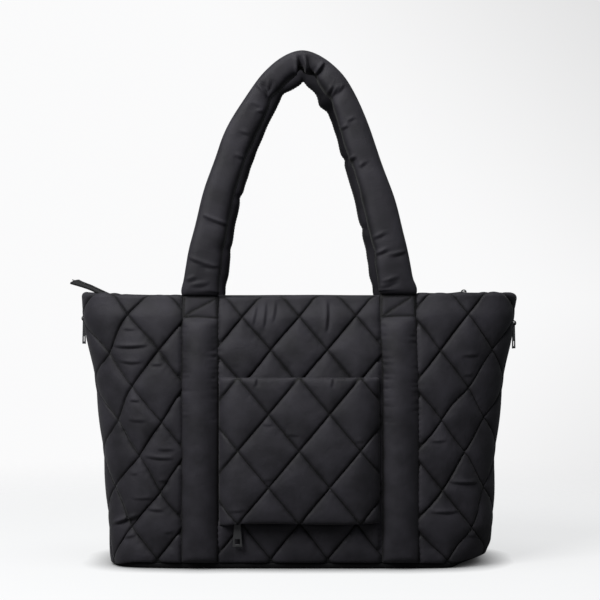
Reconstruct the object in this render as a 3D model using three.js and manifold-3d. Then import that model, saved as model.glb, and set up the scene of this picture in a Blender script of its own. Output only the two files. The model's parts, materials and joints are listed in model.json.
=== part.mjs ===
// A quilted tote bag of padded nylon: two quilted walls on a flat base, padded handles on sewn bands,
// a quilted front pocket with a zip under its hem, a zip down each side and a zipped top.
// Millimetres, +Z up. The front faces -Y, and the origin is the middle of the base, on the ground.
import * as THREE from "three";
import { mergeVertices } from "three/addons/utils/BufferGeometryUtils.js";
import Module from "manifold-3d";

const wasm = await Module();
wasm.setup();

// Driving dimensions
const GAP = 0.3; // left between pieces that touch
const RIM_Z = 281;
const SEAM_THICK = 2; // quilted cloth where it is sewn through
const PUFF = 8; // how far the wadding stands above its seams
const PUFF_POWER = 0.6; // below 1 the puffs are full, with steep sides
const QUILT = { width: 58, height: 70.4, lowestCrossing: 12 }; // one diamond of the walls
const BASE = { thick: 8, points: 60 };
const BAND = { x: 101.5, width: 38, edge: 2.2, padded: 9, flat: 3.2, flatHeight: 27, columns: 6 };
const HANDLE = { baseLean: -4, apexY: -27, sides: 12, steps: 40, endZ: RIM_Z + 0.6, rearNarrow: 0.965 };
const POCKET = { bottom: 48, top: 196, width: 164, cellWidth: 62, puff: 6, squareness: 8 };
const POCKET_GAP = { hem: 13, mouth: 9.5 }; // how far the pocket stands off the wall
const SIDE_ZIP = { width: 12, coil: 4, coilHeight: 1.2, leftSliderZ: 255.5, rightSliderZ: 250.5, twist: 24 };
const TOP_ZIP = { left: -188, right: 188, width: 14, coil: 5, coilHeight: 1.4, z: 277, tape: 1.6 };
const TAIL = { width: 26, thick: 2, roll: 6 };
const SLIDER = { width: 7, length: 10, thick: 2.6 };
const POCKET_SLIDER = { width: 8, length: 5.5 }; // a smaller one, under the hem
const RING = { inner: 1.6, outer: 3, width: 1.6, lift: 1.2, sunk: 0.4 }; // half a ring that holds a pull
const PULL = { length: 27, top: 0.9, topHalf: 3.1, bottomHalf: 4.9, thick: 1.2, window: 5.4, windowUp: 2.4 };
const PULL_EYE = { half: 1.3, top: -0.95, bottom: -4.5 };
const BEHIND_POCKET = 0.12; // share of the wall's puff that is left there
const SIDE_FULLNESS = 0.4; // and beside the side zips
const POCKET_PULL_X = -62.8;
const POCKET_PULL_OUT = 5.4; // in front of the wall's seams
const POCKET_PULL_RISE = 3; // its pivot, above the hem's edge
const TOP_SLIDER_X = 175;

// The inner face of the walls in plan, from the ground to the rim: half sizes and squareness of the corners.
const SECTIONS = [
  { z: 0, halfWidth: 192, halfDepth: 69.5, squareness: 6 },
  { z: 12, halfWidth: 192.5, halfDepth: 72, squareness: 5.6 },
  { z: 50, halfWidth: 196, halfDepth: 76, squareness: 4.6 },
  { z: 120, halfWidth: 202, halfDepth: 77.5, squareness: 4.2 },
  { z: 200, halfWidth: 211.5, halfDepth: 73, squareness: 4.3 },
  { z: 250, halfWidth: 219, halfDepth: 65, squareness: 4.8 },
  { z: RIM_Z, halfWidth: 224, halfDepth: 58, squareness: 5.2 },
];

// One leg of a handle's middle line, from its sewn end to the top of the arch, with its size there.
const HANDLE_LEG = [
  { z: HANDLE.endZ, x: BAND.x, across: 38, deep: 10 },
  { z: 305, x: 99, across: 34, deep: 20 },
  { z: 333, x: 94, across: 31, deep: 26 },
  { z: 383, x: 82, across: 29, deep: 28 },
  { z: 432, x: 66, across: 29, deep: 27 },
  { z: 469, x: 51, across: 28, deep: 26 },
  { z: 496, x: 36, across: 26, deep: 26 },
  { z: 511, x: 23, across: 25, deep: 26 },
  { z: 523, x: 0, across: 25, deep: 26 },
];

// Creases pressed into the underside of a handle's bend: how far along it lies, how deep and how long it is.
const HANDLE_CREASES = [
  { along: 0.085, deep: 1.6, half: 0.012 },
  { along: 0.4, deep: 4, half: 0.018 },
  { along: 0.492, deep: 5, half: 0.014 },
  { along: 0.535, deep: 4.5, half: 0.014 },
  { along: 0.6, deep: 3.5, half: 0.016 },
  { along: 0.915, deep: 1.6, half: 0.012 },
];

// The free end of the top zip, from where the top panels let it go to its tip.
const TAIL_LINE = [
  { x: -189.2, z: 277 },
  { x: -202, z: 279.5 },
  { x: -213, z: 285 },
  { x: -224, z: 290.5 },
  { x: -242, z: 296.5 },
];

const nylon = new THREE.MeshStandardMaterial({ color: 0x27272a, roughness: 0.62, metalness: 0 });
const smoothNylon = new THREE.MeshStandardMaterial({ color: 0x29292c, roughness: 0.58, metalness: 0 });
const baseCloth = new THREE.MeshStandardMaterial({ color: 0x151516, roughness: 0.75, metalness: 0 });
const zipTape = new THREE.MeshStandardMaterial({ color: 0x1b1b1d, roughness: 0.8, metalness: 0 });
const gunmetal = new THREE.MeshStandardMaterial({ color: 0x2c2c2e, roughness: 0.4, metalness: 0.9 });

// A smooth value through the rows of a table, at one value of its key column.
function smoothAt(table, key, column, at) {
  const last = table.length - 1;
  const found = table.findIndex((row, i) => i < last && at <= table[i + 1][key]);
  const i = found < 0 ? last - 1 : found;
  const rowAt = (n) => table[THREE.MathUtils.clamp(n, 0, last)];
  const [before, from, to, after] = [rowAt(i - 1), rowAt(i), rowAt(i + 1), rowAt(i + 2)];
  const span = to[key] - from[key];
  const slopeFrom = ((to[column] - before[column]) / (to[key] - before[key])) * span;
  const slopeTo = ((after[column] - from[column]) / (after[key] - from[key])) * span;
  const t = (at - from[key]) / span;
  const fromShare = 2 * t ** 3 - 3 * t ** 2 + 1;
  return (
    fromShare * from[column] +
    (1 - fromShare) * to[column] +
    (t ** 3 - 2 * t ** 2 + t) * slopeFrom +
    (t ** 3 - t ** 2) * slopeTo
  );
}

// A quarter of the plan at one height, from the front's middle to the side's, with the length along it.
const quarters = new Map();
function quarterPlan(z) {
  if (!quarters.has(z)) {
    const [a, b, n] = ["halfWidth", "halfDepth", "squareness"].map((c) => smoothAt(SECTIONS, "z", c, z));
    const steps = 240;
    const points = [];
    let along = 0;
    for (let i = 0; i <= steps; i++) {
      const angle = (i / steps) * (Math.PI / 2);
      const point = new THREE.Vector2(a * Math.sin(angle) ** (2 / n), -b * Math.cos(angle) ** (2 / n));
      if (i > 0) along += point.distanceTo(points[i - 1].point);
      points.push({ point, along });
    }
    quarters.set(z, points);
  }
  return quarters.get(z);
}

function halfGirth(z) {
  return quarterPlan(z).at(-1).along;
}

// The point of the walls that is u along the cloth from the front's middle, at height z, moved out by a way.
function wallPoint(u, z, out = 0) {
  const plan = quarterPlan(z);
  const along = Math.min(Math.abs(u), halfGirth(z));
  const i = Math.max(1, plan.findIndex((p) => p.along >= along));
  const [from, to] = [plan[i - 1], plan[i]];
  const at = from.point.clone().lerp(to.point, (along - from.along) / (to.along - from.along));
  const run = to.point.clone().sub(from.point).normalize();
  const side = u < 0 ? -1 : 1;
  return new THREE.Vector3(side * (at.x + run.y * out), at.y - run.x * out, z);
}

function geometryOf(points, faces) {
  const geometry = new THREE.BufferGeometry().setFromPoints(points);
  geometry.setIndex(faces);
  geometry.computeVertexNormals();
  return geometry;
}

// A closed sheet from a grid of outer points and a grid of inner ones. Seen from outside, columns run to
// the right and rows run up. leansRight says which way a cell is split into triangles.
function closedSheet(columns, rows, outerAt, innerAt, leansRight = () => true) {
  const points = [];
  for (const at of [outerAt, innerAt]) {
    for (let row = 0; row < rows; row++) {
      for (let column = 0; column < columns; column++) points.push(at(column, row));
    }
  }
  const inner = columns * rows;
  const id = (column, row) => row * columns + column;
  const faces = [];
  const quad = (a, b, c, d, leans = true) => faces.push(...(leans ? [a, b, c, a, c, d] : [a, b, d, b, c, d]));
  for (let row = 0; row + 1 < rows; row++) {
    for (let column = 0; column + 1 < columns; column++) {
      const corners = [id(column, row), id(column + 1, row), id(column + 1, row + 1), id(column, row + 1)];
      const leans = leansRight(column, row);
      quad(...corners, leans);
      const [a, b, c, d] = corners.map((corner) => inner + corner);
      quad(b, a, d, c, !leans);
    }
    const [left, leftUp] = [id(0, row), id(0, row + 1)];
    const [right, rightUp] = [id(columns - 1, row), id(columns - 1, row + 1)];
    quad(left, leftUp, inner + leftUp, inner + left);
    quad(inner + right, inner + rightUp, rightUp, right);
  }
  for (let column = 0; column + 1 < columns; column++) {
    const [low, lowNext] = [id(column, 0), id(column + 1, 0)];
    const [high, highNext] = [id(column, rows - 1), id(column + 1, rows - 1)];
    quad(inner + low, inner + lowNext, lowNext, low);
    quad(high, highNext, inner + highNext, inner + high);
  }
  return geometryOf(points, faces);
}

// A closed tube through rings of points that run anticlockwise, seen from the tube's far end.
function closedTube(rings) {
  const sides = rings[0].length;
  const faces = [];
  for (let ring = 0; ring + 1 < rings.length; ring++) {
    for (let side = 0; side < sides; side++) {
      const [a, b] = [ring * sides + side, ring * sides + ((side + 1) % sides)];
      faces.push(a, b, b + sides, a, b + sides, a + sides);
    }
  }
  const end = (rings.length - 1) * sides;
  for (let side = 1; side + 1 < sides; side++) {
    faces.push(0, side + 1, side, end, end + side, end + side + 1);
  }
  return geometryOf(rings.flat(), faces);
}

// A strip of zip: a flat tape with the coil as a ridge down its middle, swept through frames that each
// give the middle of its underside, the way across it and the way out of it.
function zipStrip(frames, width, thick, coil, coilHeight) {
  const half = width / 2;
  const profile = [
    [-half, 0],
    [half, 0],
    [half, thick],
    [coil / 2, thick],
    [coil / 2 - coilHeight / 2, thick + coilHeight],
    [coilHeight / 2 - coil / 2, thick + coilHeight],
    [-coil / 2, thick],
    [-half, thick],
  ];
  return frames.map(({ middle, across, out }) =>
    profile.map(([a, o]) => middle.clone().addScaledVector(across, a).addScaledVector(out, o)),
  );
}

// Quilting: how high the wadding stands at a place given in quarters of a diamond from a crossing.
function puffShare(column, row) {
  const one = Math.sin((Math.PI * (column + row)) / 4);
  const other = Math.sin((Math.PI * (column - row)) / 4);
  return Math.abs(one * other) ** PUFF_POWER;
}

// Cells are split along the seams that cross them.
function splitsWithSeams(column, row) {
  if ((((column - row) % 4) + 4) % 4 === 0) return true;
  if ((((column + row + 1) % 4) + 4) % 4 === 0) return false;
  return (column + row) % 2 === 0;
}

// The walls: columns are quarter diamonds from the front's middle, and their edges lie along the bands.
const QUARTER = { width: QUILT.width / 4, height: QUILT.height / 4 };
const SIDE_COLUMN = 18;
const EVEN_COLUMNS = 12;
const CROSSING_ROW = 2;
const WALL_BOTTOM = BASE.thick + GAP;
const bandReach = BAND.width / 2 + 0.5;
const BAND_EDGES = { inner: BAND.x - bandReach, outer: BAND.x + bandReach };
const wallRows = [WALL_BOTTOM];
for (let z = QUILT.lowestCrossing; z < RIM_Z - 1; z += QUARTER.height) wallRows.push(z);
wallRows.push(RIM_Z);

function columnAt(column, z) {
  const steps = Math.abs(column);
  const even = EVEN_COLUMNS * QUARTER.width;
  const end = halfGirth(z) - SIDE_ZIP.width / 2;
  const bandColumn = BAND.x / QUARTER.width;
  const toSide = (steps - EVEN_COLUMNS) / (SIDE_COLUMN - EVEN_COLUMNS);
  let along = toSide > 0 ? THREE.MathUtils.lerp(even, end, toSide) : steps * QUARTER.width;
  if (steps === Math.round(bandColumn) - 1) along = BAND_EDGES.inner;
  if (steps === Math.round(bandColumn) + 1) along = BAND_EDGES.outer;
  return Math.sign(column) * along;
}

function isUnderBand(u) {
  return Math.abs(u) > BAND_EDGES.inner - 1 && Math.abs(u) < BAND_EDGES.outer + 1;
}

function quiltedWall(hasPocket) {
  const columns = 2 * SIDE_COLUMN + 1;
  const lastRow = wallRows.length - 1;
  const outAt = (column, row) => {
    const z = wallRows[row];
    const u = columnAt(column, z);
    if (row === 0 || row === lastRow || Math.abs(column) === SIDE_COLUMN || isUnderBand(u)) return SEAM_THICK;
    const covered = hasPocket && Math.abs(u) < BAND_EDGES.inner && z < POCKET.top + POCKET_GAP.mouth;
    const toSide = THREE.MathUtils.smoothstep(Math.abs(column), EVEN_COLUMNS, SIDE_COLUMN);
    const fullness = covered ? BEHIND_POCKET : THREE.MathUtils.lerp(1, SIDE_FULLNESS, toSide);
    return SEAM_THICK + PUFF * fullness * puffShare(column, row - 1 - CROSSING_ROW);
  };
  const at = (out) => (index, row) => {
    const column = index - SIDE_COLUMN;
    const z = wallRows[row];
    return wallPoint(columnAt(column, z), z, out(column, row));
  };
  const leans = (index, row) => splitsWithSeams(index - SIDE_COLUMN, row - 1 - CROSSING_ROW);
  return closedSheet(columns, wallRows.length, at(outAt), at(() => 0), leans);
}

// A band: a padded strip sewn flat to the wall, and pressed thin where the handle is sewn on at its top.
function band(centre) {
  const flatFrom = RIM_Z - BAND.flatHeight;
  const ease = 9;
  const rows = [...wallRows.slice(0, -2), flatFrom - ease, flatFrom, RIM_Z].sort((a, b) => a - b);
  const across = (index) => (index / BAND.columns - 0.5) * BAND.width;
  const outAt = (index, row) => {
    const share = 1 - Math.abs(across(index) / (BAND.width / 2)) ** 3;
    const height = rows[row] >= flatFrom || row === 0 ? BAND.flat : BAND.padded;
    return SEAM_THICK + GAP + BAND.edge + (height - BAND.edge) * share;
  };
  const at = (out) => (index, row) => wallPoint(centre + across(index), rows[row], out(index, row));
  return closedSheet(BAND.columns + 1, rows.length, at(outAt), at(() => SEAM_THICK + GAP));
}

// A handle: a padded tube that leaves the bands flat, rounds out and leans to the middle of the bag.
// narrow draws its legs together above its sewn ends.
function handle(narrow) {
  const startY = wallPoint(BAND.x, RIM_Z).y + HANDLE.baseLean;
  const lean = (HANDLE.apexY - startY) / (HANDLE_LEG.at(-1).z - HANDLE.endZ);
  const front = new THREE.Vector3(0, -1, lean).normalize();
  const leg = HANDLE_LEG.map((row, i) => ({ ...row, x: row.x * (i === 0 ? 1 : narrow) }));
  const left = leg.map((row) => ({ ...row, x: -row.x }));
  const stations = [...left, ...leg.slice(0, -1).reverse()];
  const middle = new THREE.CatmullRomCurve3(
    stations.map(({ x, z }) => new THREE.Vector3(x, startY + lean * (z - HANDLE.endZ), z)),
    false,
    "centripetal",
  );
  const sizes = stations.map((row, i) => ({ ...row, along: i / (stations.length - 1) }));
  const rings = [];
  for (let step = 0; step <= HANDLE.steps; step++) {
    const along = step / HANDLE.steps;
    const tangent = step === 0 || step === HANDLE.steps ? endTangent(step === 0) : middle.getTangent(along);
    const side = front.clone().cross(tangent).normalize();
    const across = smoothAt(sizes, "along", "across", along) / 2;
    const deep = smoothAt(sizes, "along", "deep", along) / 2;
    const ring = [];
    for (let n = 0; n < HANDLE.sides; n++) {
      const angle = (n / HANDLE.sides) * 2 * Math.PI;
      const under = Math.max(0, -Math.cos(angle));
      const pinch = HANDLE_CREASES.reduce(
        (sum, crease) => sum + crease.deep * Math.max(0, 1 - Math.abs(along - crease.along) / crease.half),
        0,
      );
      const point = middle.getPoint(along);
      point.addScaledVector(side, Math.cos(angle) * across + under * pinch);
      ring.push(point.addScaledVector(front, Math.sin(angle) * deep));
    }
    rings.push(ring);
  }
  return closedTube(rings);
}

// Both ends of a handle are cut level, to sit on the bands.
function endTangent(isStart) {
  return new THREE.Vector3(0, 0, isStart ? 1 : -1);
}

// The pocket: a quilted panel between the front bands that stands off the wall, most at its hem.
const POCKET_ROWS = 8;
const POCKET_COLUMNS = 5;
const pocketSide = POCKET.width / 2 - GAP;
const pocketZ = (row) => POCKET.bottom + ((POCKET.top - POCKET.bottom) * row) / POCKET_ROWS;

function pocketU(column) {
  const edge = POCKET_COLUMNS + 1;
  return Math.abs(column) === edge ? Math.sign(column) * pocketSide : (column * POCKET.cellWidth) / 4;
}

// How far the pocket's inner face lies from the inner face of the wall.
function pocketOut(u, z) {
  const up = (z - POCKET.bottom) / (POCKET.top - POCKET.bottom);
  const gap = THREE.MathUtils.lerp(POCKET_GAP.hem, POCKET_GAP.mouth, up);
  return SEAM_THICK + GAP + gap * (1 - Math.min(1, Math.abs(u) / pocketSide) ** POCKET.squareness);
}

function pocket() {
  const edge = POCKET_COLUMNS + 1;
  const outAt = (column, row) => {
    const isEdge = Math.abs(column) === edge || row === 0 || row === POCKET_ROWS;
    const share = isEdge ? 0 : puffShare(column, row - POCKET_ROWS / 2);
    return pocketOut(pocketU(column), pocketZ(row)) + SEAM_THICK + POCKET.puff * share;
  };
  const inAt = (column, row) => pocketOut(pocketU(column), pocketZ(row));
  const at = (out) => (index, row) => wallPoint(pocketU(index - edge), pocketZ(row), out(index - edge, row));
  const leans = (index, row) => splitsWithSeams(index - edge, row - POCKET_ROWS / 2);
  return closedSheet(2 * edge + 1, POCKET_ROWS + 1, at(outAt), at(inAt), leans);
}

// The zip that closes the pocket's foot: a flat strip from the wall to the pocket, above the hem.
const pocketZipZ = POCKET.bottom + POCKET_PULL_RISE + RING.lift + SLIDER.thick + GAP;
function pocketZip() {
  const thick = 1.8;
  const behind = SEAM_THICK + PUFF * BEHIND_POCKET;
  const at = (z) => (index, row) => {
    const u = pocketU(index - POCKET_COLUMNS);
    return wallPoint(u, z, row === 0 ? pocketOut(u, z) - 2 * GAP : behind + GAP);
  };
  return closedSheet(2 * POCKET_COLUMNS + 1, 2, at(pocketZipZ + thick), at(pocketZipZ));
}

// The side zips: tape and coil between the ends of the two walls, from the base to the rim.
function sideZip(side) {
  const across = new THREE.Vector3(0, -side, 0);
  const out = new THREE.Vector3(side, 0, 0);
  const rows = wallRows.filter((z, i) => i % 2 === 0 || z === RIM_Z);
  const frames = rows.map((z) => ({ middle: wallPoint(side * halfGirth(z), z), across, out }));
  const width = SIDE_ZIP.width - 2 * GAP;
  return closedTube(zipStrip(frames, width, SEAM_THICK, SIDE_ZIP.coil, SIDE_ZIP.coilHeight));
}

// The top panels: strips of cloth from just under the rim to the zip, a little higher in the middle.
function topPanel() {
  const columns = 15;
  const rows = 3;
  const thick = 1.6;
  const wallDrop = 5;
  const inset = 0.9;
  const rimPlan = quarterPlan(RIM_Z - wallDrop);
  const zipEdge = -(TOP_ZIP.width / 2 + GAP);
  const x = (index) => THREE.MathUtils.lerp(TOP_ZIP.left, TOP_ZIP.right, index / (columns - 1));
  const wallY = (at) => {
    const i = Math.max(1, rimPlan.findIndex((p) => p.point.x >= Math.abs(at)));
    const [from, to] = [rimPlan[i - 1].point, rimPlan[i].point];
    return from.clone().lerp(to, (Math.abs(at) - from.x) / (to.x - from.x)).y + inset;
  };
  const at = (lower) => (index, row) => {
    const share = row / (rows - 1);
    const crown = Math.sin((share * Math.PI) / 2) * (TOP_ZIP.z + wallDrop + thick - RIM_Z);
    const z = RIM_Z - wallDrop + crown - lower;
    return new THREE.Vector3(x(index), THREE.MathUtils.lerp(wallY(x(index)), zipEdge, share), z);
  };
  return closedSheet(columns, rows, at(0), at(thick));
}

function topZip() {
  const across = new THREE.Vector3(0, 1, 0);
  const out = new THREE.Vector3(0, 0, 1);
  const frames = [TOP_ZIP.left, TOP_ZIP.right].map((x) => ({
    middle: new THREE.Vector3(x, 0, TOP_ZIP.z),
    across,
    out,
  }));
  return closedTube(zipStrip(frames, TOP_ZIP.width, TOP_ZIP.tape, TOP_ZIP.coil, TOP_ZIP.coilHeight));
}

function zipTail() {
  const line = new THREE.CatmullRomCurve3(TAIL_LINE.map(({ x, z }) => new THREE.Vector3(x, 0, z)));
  const steps = 12;
  const frames = [];
  for (let step = 0; step <= steps; step++) {
    const share = step / steps;
    const roll = THREE.MathUtils.degToRad(TAIL.roll) * share;
    const tangent = line.getTangent(share);
    const flat = new THREE.Vector3(0, -1, 0);
    const across = flat.applyAxisAngle(tangent, -roll).normalize();
    frames.push({ middle: line.getPoint(share), across, out: across.clone().cross(tangent).negate() });
  }
  return closedTube(zipStrip(frames, TAIL.width, TAIL.thick, TOP_ZIP.coil, TOP_ZIP.coilHeight));
}

// The base: a flat panel whose edge rolls up to the walls.
function base() {
  const edge = [
    { z: 0, inset: 2.6 },
    { z: 1, inset: 0.9 },
    { z: 3, inset: -0.6 },
    { z: BASE.thick, inset: -1.8 },
  ];
  const rings = edge.map(({ z, inset }) => {
    const ring = [];
    for (let n = 0; n < BASE.points; n++) {
      const turn = (n / BASE.points) * 4;
      const quarter = Math.floor(turn);
      const along = (turn - quarter) * halfGirth(BASE.thick);
      const u = quarter % 2 === 0 ? along : halfGirth(BASE.thick) - along;
      const point = wallPoint(u, BASE.thick, -inset).setZ(z);
      ring.push(quarter === 0 ? point : mirrored(point, quarter));
    }
    return ring;
  });
  return closedTube(rings);
}

// The first quarter of the plan carried to another one, going round anticlockwise from the front's middle.
function mirrored(point, quarter) {
  const signX = quarter === 1 ? 1 : -1;
  const signY = quarter === 3 ? 1 : -1;
  return new THREE.Vector3(signX * point.x, signY * point.y, point.z);
}

function solidOf(geometry) {
  const bare = geometry.clone();
  bare.deleteAttribute("normal");
  bare.deleteAttribute("uv");
  const merged = mergeVertices(bare, 1e-4);
  return new wasm.Manifold(
    new wasm.Mesh({
      numProp: 3,
      vertProperties: merged.attributes.position.array,
      triVerts: new Uint32Array(merged.index.array),
    }),
  );
}

function joined(...geometries) {
  const mesh = geometries.map(solidOf).reduce((whole, piece) => whole.add(piece)).getMesh();
  const geometry = new THREE.BufferGeometry();
  geometry.setAttribute("position", new THREE.BufferAttribute(mesh.vertProperties, 3));
  geometry.setIndex(new THREE.BufferAttribute(mesh.triVerts, 1));
  geometry.computeVertexNormals();
  return geometry;
}

// A slider faces -Y with its pull's pivot at the origin: a body, and half a ring that the pull hangs from.
function slider({ width, length }) {
  const body = new THREE.BoxGeometry(width, SLIDER.thick, length);
  body.translate(0, RING.lift + SLIDER.thick / 2, 0);
  const foot = RING.lift + RING.sunk;
  const outline = new THREE.Shape();
  outline.moveTo(foot, -RING.outer);
  outline.lineTo(0, -RING.outer);
  outline.absarc(0, 0, RING.outer, -Math.PI / 2, -1.5 * Math.PI, true);
  outline.lineTo(foot, RING.outer);
  outline.lineTo(foot, RING.inner);
  outline.lineTo(0, RING.inner);
  outline.absarc(0, 0, RING.inner, -1.5 * Math.PI, -Math.PI / 2, false);
  outline.lineTo(foot, -RING.inner);
  const bend = { depth: RING.width, bevelEnabled: false, curveSegments: 7 };
  const ring = new THREE.ExtrudeGeometry(outline, bend);
  ring.translate(0, 0, -RING.width / 2);
  const toFront = new THREE.Matrix4().makeBasis(
    new THREE.Vector3(0, 1, 0),
    new THREE.Vector3(0, 0, 1),
    new THREE.Vector3(1, 0, 0),
  );
  return joined(body, ring.applyMatrix4(toFront));
}

function squareHole(half, bottom, top) {
  const hole = new THREE.Path();
  hole.moveTo(-half, top);
  hole.lineTo(half, top);
  hole.lineTo(half, bottom);
  hole.lineTo(-half, bottom);
  return hole;
}

// A pull hangs down from its pivot at the origin: a tapered plate with an eye and a square window.
function pull() {
  const { length, top, topHalf, bottomHalf, thick, window, windowUp } = PULL;
  const plate = new THREE.Shape();
  plate.moveTo(-topHalf, top);
  plate.lineTo(-bottomHalf, -length);
  plate.lineTo(bottomHalf, -length);
  plate.lineTo(topHalf, top);
  const windowBottom = windowUp - length;
  plate.holes.push(squareHole(PULL_EYE.half, PULL_EYE.bottom, PULL_EYE.top));
  plate.holes.push(squareHole(window / 2, windowBottom, windowBottom + window));
  const geometry = new THREE.ExtrudeGeometry(plate, { depth: thick, bevelEnabled: false });
  return geometry.translate(0, 0, -thick / 2).rotateX(Math.PI / 2);
}

// The top zip's slider, with its pull lying along the zip, is one plain piece.
function topSlider() {
  const body = new THREE.BoxGeometry(SLIDER.length, SLIDER.width, SLIDER.thick);
  const lying = new THREE.BoxGeometry(PULL.length, PULL.topHalf * 2, PULL.thick);
  const overlap = { along: 2, down: 0.2 };
  lying.translate(overlap.along - PULL.length / 2, 0, (SLIDER.thick + PULL.thick) / 2 - overlap.down);
  return joined(body, lying);
}

const tote = new THREE.Group();

function add(group, name, geometry, material) {
  const mesh = new THREE.Mesh(geometry, material);
  mesh.name = name;
  group.add(mesh);
  return mesh;
}

// The front half, and the rear half turned round from it.
for (const side of ["front", "rear"]) {
  const half = new THREE.Group();
  const isRear = side === "rear";
  half.rotation.z = isRear ? Math.PI : 0;
  add(half, `${side}_wall`, quiltedWall(!isRear), nylon);
  add(half, `${side}_band_left`, band(isRear ? BAND.x : -BAND.x), smoothNylon);
  add(half, `${side}_band_right`, band(isRear ? -BAND.x : BAND.x), smoothNylon);
  add(half, `${side}_handle`, handle(isRear ? HANDLE.rearNarrow : 1), smoothNylon);
  add(half, `${side}_top_panel`, topPanel(), smoothNylon);
  tote.add(half);
}

add(tote, "base_panel", base(), baseCloth);
add(tote, "front_pocket", pocket(), nylon);
add(tote, "pocket_zip", pocketZip(), zipTape);
add(tote, "top_zip", topZip(), zipTape);
add(tote, "top_zip_tail", zipTail(), zipTape);

const topSliderZ = TOP_ZIP.z + TOP_ZIP.tape + TOP_ZIP.coilHeight + GAP + SLIDER.thick / 2;
add(tote, "top_zip_slider", topSlider(), gunmetal).position.set(TOP_SLIDER_X, 0, topSliderZ);

const pocketPivotZ = POCKET.bottom + POCKET_PULL_RISE;
const pocketPivot = wallPoint(POCKET_PULL_X, pocketPivotZ, SEAM_THICK + POCKET_PULL_OUT);
const pocketSlider = add(tote, "pocket_slider", slider(POCKET_SLIDER), gunmetal);
pocketSlider.position.copy(pocketPivot);
pocketSlider.rotation.x = Math.PI / 2;
add(tote, "pocket_pull", pull(), gunmetal).position.copy(pocketPivot);

for (const [name, side, sliderZ] of [
  ["left", -1, SIDE_ZIP.leftSliderZ],
  ["right", 1, SIDE_ZIP.rightSliderZ],
]) {
  add(tote, `side_zip_${name}`, sideZip(side), zipTape);
  const twist = THREE.MathUtils.degToRad(SIDE_ZIP.twist);
  const clear = Math.sin(twist) * (SLIDER.width / 2) + 2 * GAP;
  const out = SEAM_THICK + SIDE_ZIP.coilHeight + clear + SLIDER.thick + RING.lift;
  const hung = new THREE.Group();
  hung.position.copy(wallPoint(side * halfGirth(sliderZ), sliderZ, out));
  hung.rotation.z = side * (Math.PI / 2 - twist);
  add(hung, `side_slider_${name}`, slider(SLIDER), gunmetal);
  add(hung, `side_pull_${name}`, pull(), gunmetal);
  tote.add(hung);
}

export default tote;
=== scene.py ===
# %% [markdown]
# # A quilted tote bag of padded nylon
# The CAD model gives the size and the place of every piece. This lesson dresses it: quilted walls and
# pocket, padded bands and handles, zips, pulls and stitches, and the cloth that they are made of. Sizes
# in the tables are in millimetres, because that is how a bag is cut. Blender works in metres.

# %% Load the CAD model and keep its box
import json
import math

import bmesh
import bpy
import numpy as np
from mathutils import Matrix, Vector

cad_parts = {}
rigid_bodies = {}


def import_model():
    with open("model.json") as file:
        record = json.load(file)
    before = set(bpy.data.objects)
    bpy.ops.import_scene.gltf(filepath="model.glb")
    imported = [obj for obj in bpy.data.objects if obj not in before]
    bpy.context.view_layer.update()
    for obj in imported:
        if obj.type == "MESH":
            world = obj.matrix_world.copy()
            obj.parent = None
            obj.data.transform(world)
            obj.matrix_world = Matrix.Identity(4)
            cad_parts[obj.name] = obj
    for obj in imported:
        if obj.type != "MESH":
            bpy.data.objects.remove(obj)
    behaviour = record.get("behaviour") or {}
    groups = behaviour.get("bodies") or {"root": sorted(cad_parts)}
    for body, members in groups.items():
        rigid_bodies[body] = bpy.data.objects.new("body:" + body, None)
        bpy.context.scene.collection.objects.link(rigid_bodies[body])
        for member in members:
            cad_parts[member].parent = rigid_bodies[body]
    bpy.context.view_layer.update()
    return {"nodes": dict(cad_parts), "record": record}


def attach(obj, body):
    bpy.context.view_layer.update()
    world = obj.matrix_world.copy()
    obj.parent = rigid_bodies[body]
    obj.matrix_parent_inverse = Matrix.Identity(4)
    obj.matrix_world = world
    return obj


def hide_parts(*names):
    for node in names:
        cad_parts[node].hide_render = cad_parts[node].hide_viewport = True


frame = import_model()
scene = bpy.context.scene
MM = 0.001

# %% [markdown]
# ## The camera
# The picture was taken level, from about two metres in front, with a long lens. The lens length follows
# from the focal length in pixels on a 600 pixel frame and a 36 mm sensor.

# %% Camera
CAMERA_PLACE = (0.0008, -1.9, 0.275)
FOCAL_PIXELS = 1786
FRAME_PIXELS = 600
SENSOR = 36.0
camera_data = bpy.data.cameras.new("camera")
camera_data.sensor_width = SENSOR
camera_data.lens = FOCAL_PIXELS / FRAME_PIXELS * SENSOR
camera = bpy.data.objects.new("camera", camera_data)
camera.location = CAMERA_PLACE
camera.rotation_euler = (math.radians(90), 0, 0)
scene.collection.objects.link(camera)
scene.camera = camera
print("lens:", round(camera_data.lens, 2), "mm")

# %% [markdown]
# ## The floor and the light
# A white studio: a floor that fades into a white surround, a large soft light high on the left in front,
# a weaker one from above that catches the upper edges, and little light from the right, which stays dark.
# The floor glows a little to the eye, and ambient occlusion dims that glow beside the bag, which makes a
# thin shadow where the bag stands. The world and the materials are trees of nodes, so the first cell
# makes helpers that add a node and say what each of its inputs reads.


# %% Node helpers
def set_inputs(tree, made, values):
    """Give inputs of a node, by name or number, an output to read or a plain value."""
    for key, value in values.items():
        if isinstance(value, bpy.types.NodeSocket):
            tree.links.new(value, made.inputs[key])
        else:
            made.inputs[key].default_value = value


def add_node(tree, kind, values=None, **settings):
    made = tree.nodes.new(kind)
    for key, value in settings.items():
        setattr(made, key, value)
    set_inputs(tree, made, values or {})
    return made


def math_node(tree, operation, *values):
    return add_node(tree, "ShaderNodeMath", dict(enumerate(values)), operation=operation).outputs["Value"]


def mixed(tree, share, one, other):
    """One shader with a share of another mixed in."""
    values = {0: share, 1: one, 2: other}
    return add_node(tree, "ShaderNodeMixShader", values).outputs["Shader"]


def new_material(name):
    material = bpy.data.materials.new(name)
    material.use_nodes = True
    return material, material.node_tree, material.node_tree.nodes["Principled BSDF"]


print("node helpers ready")

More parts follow.
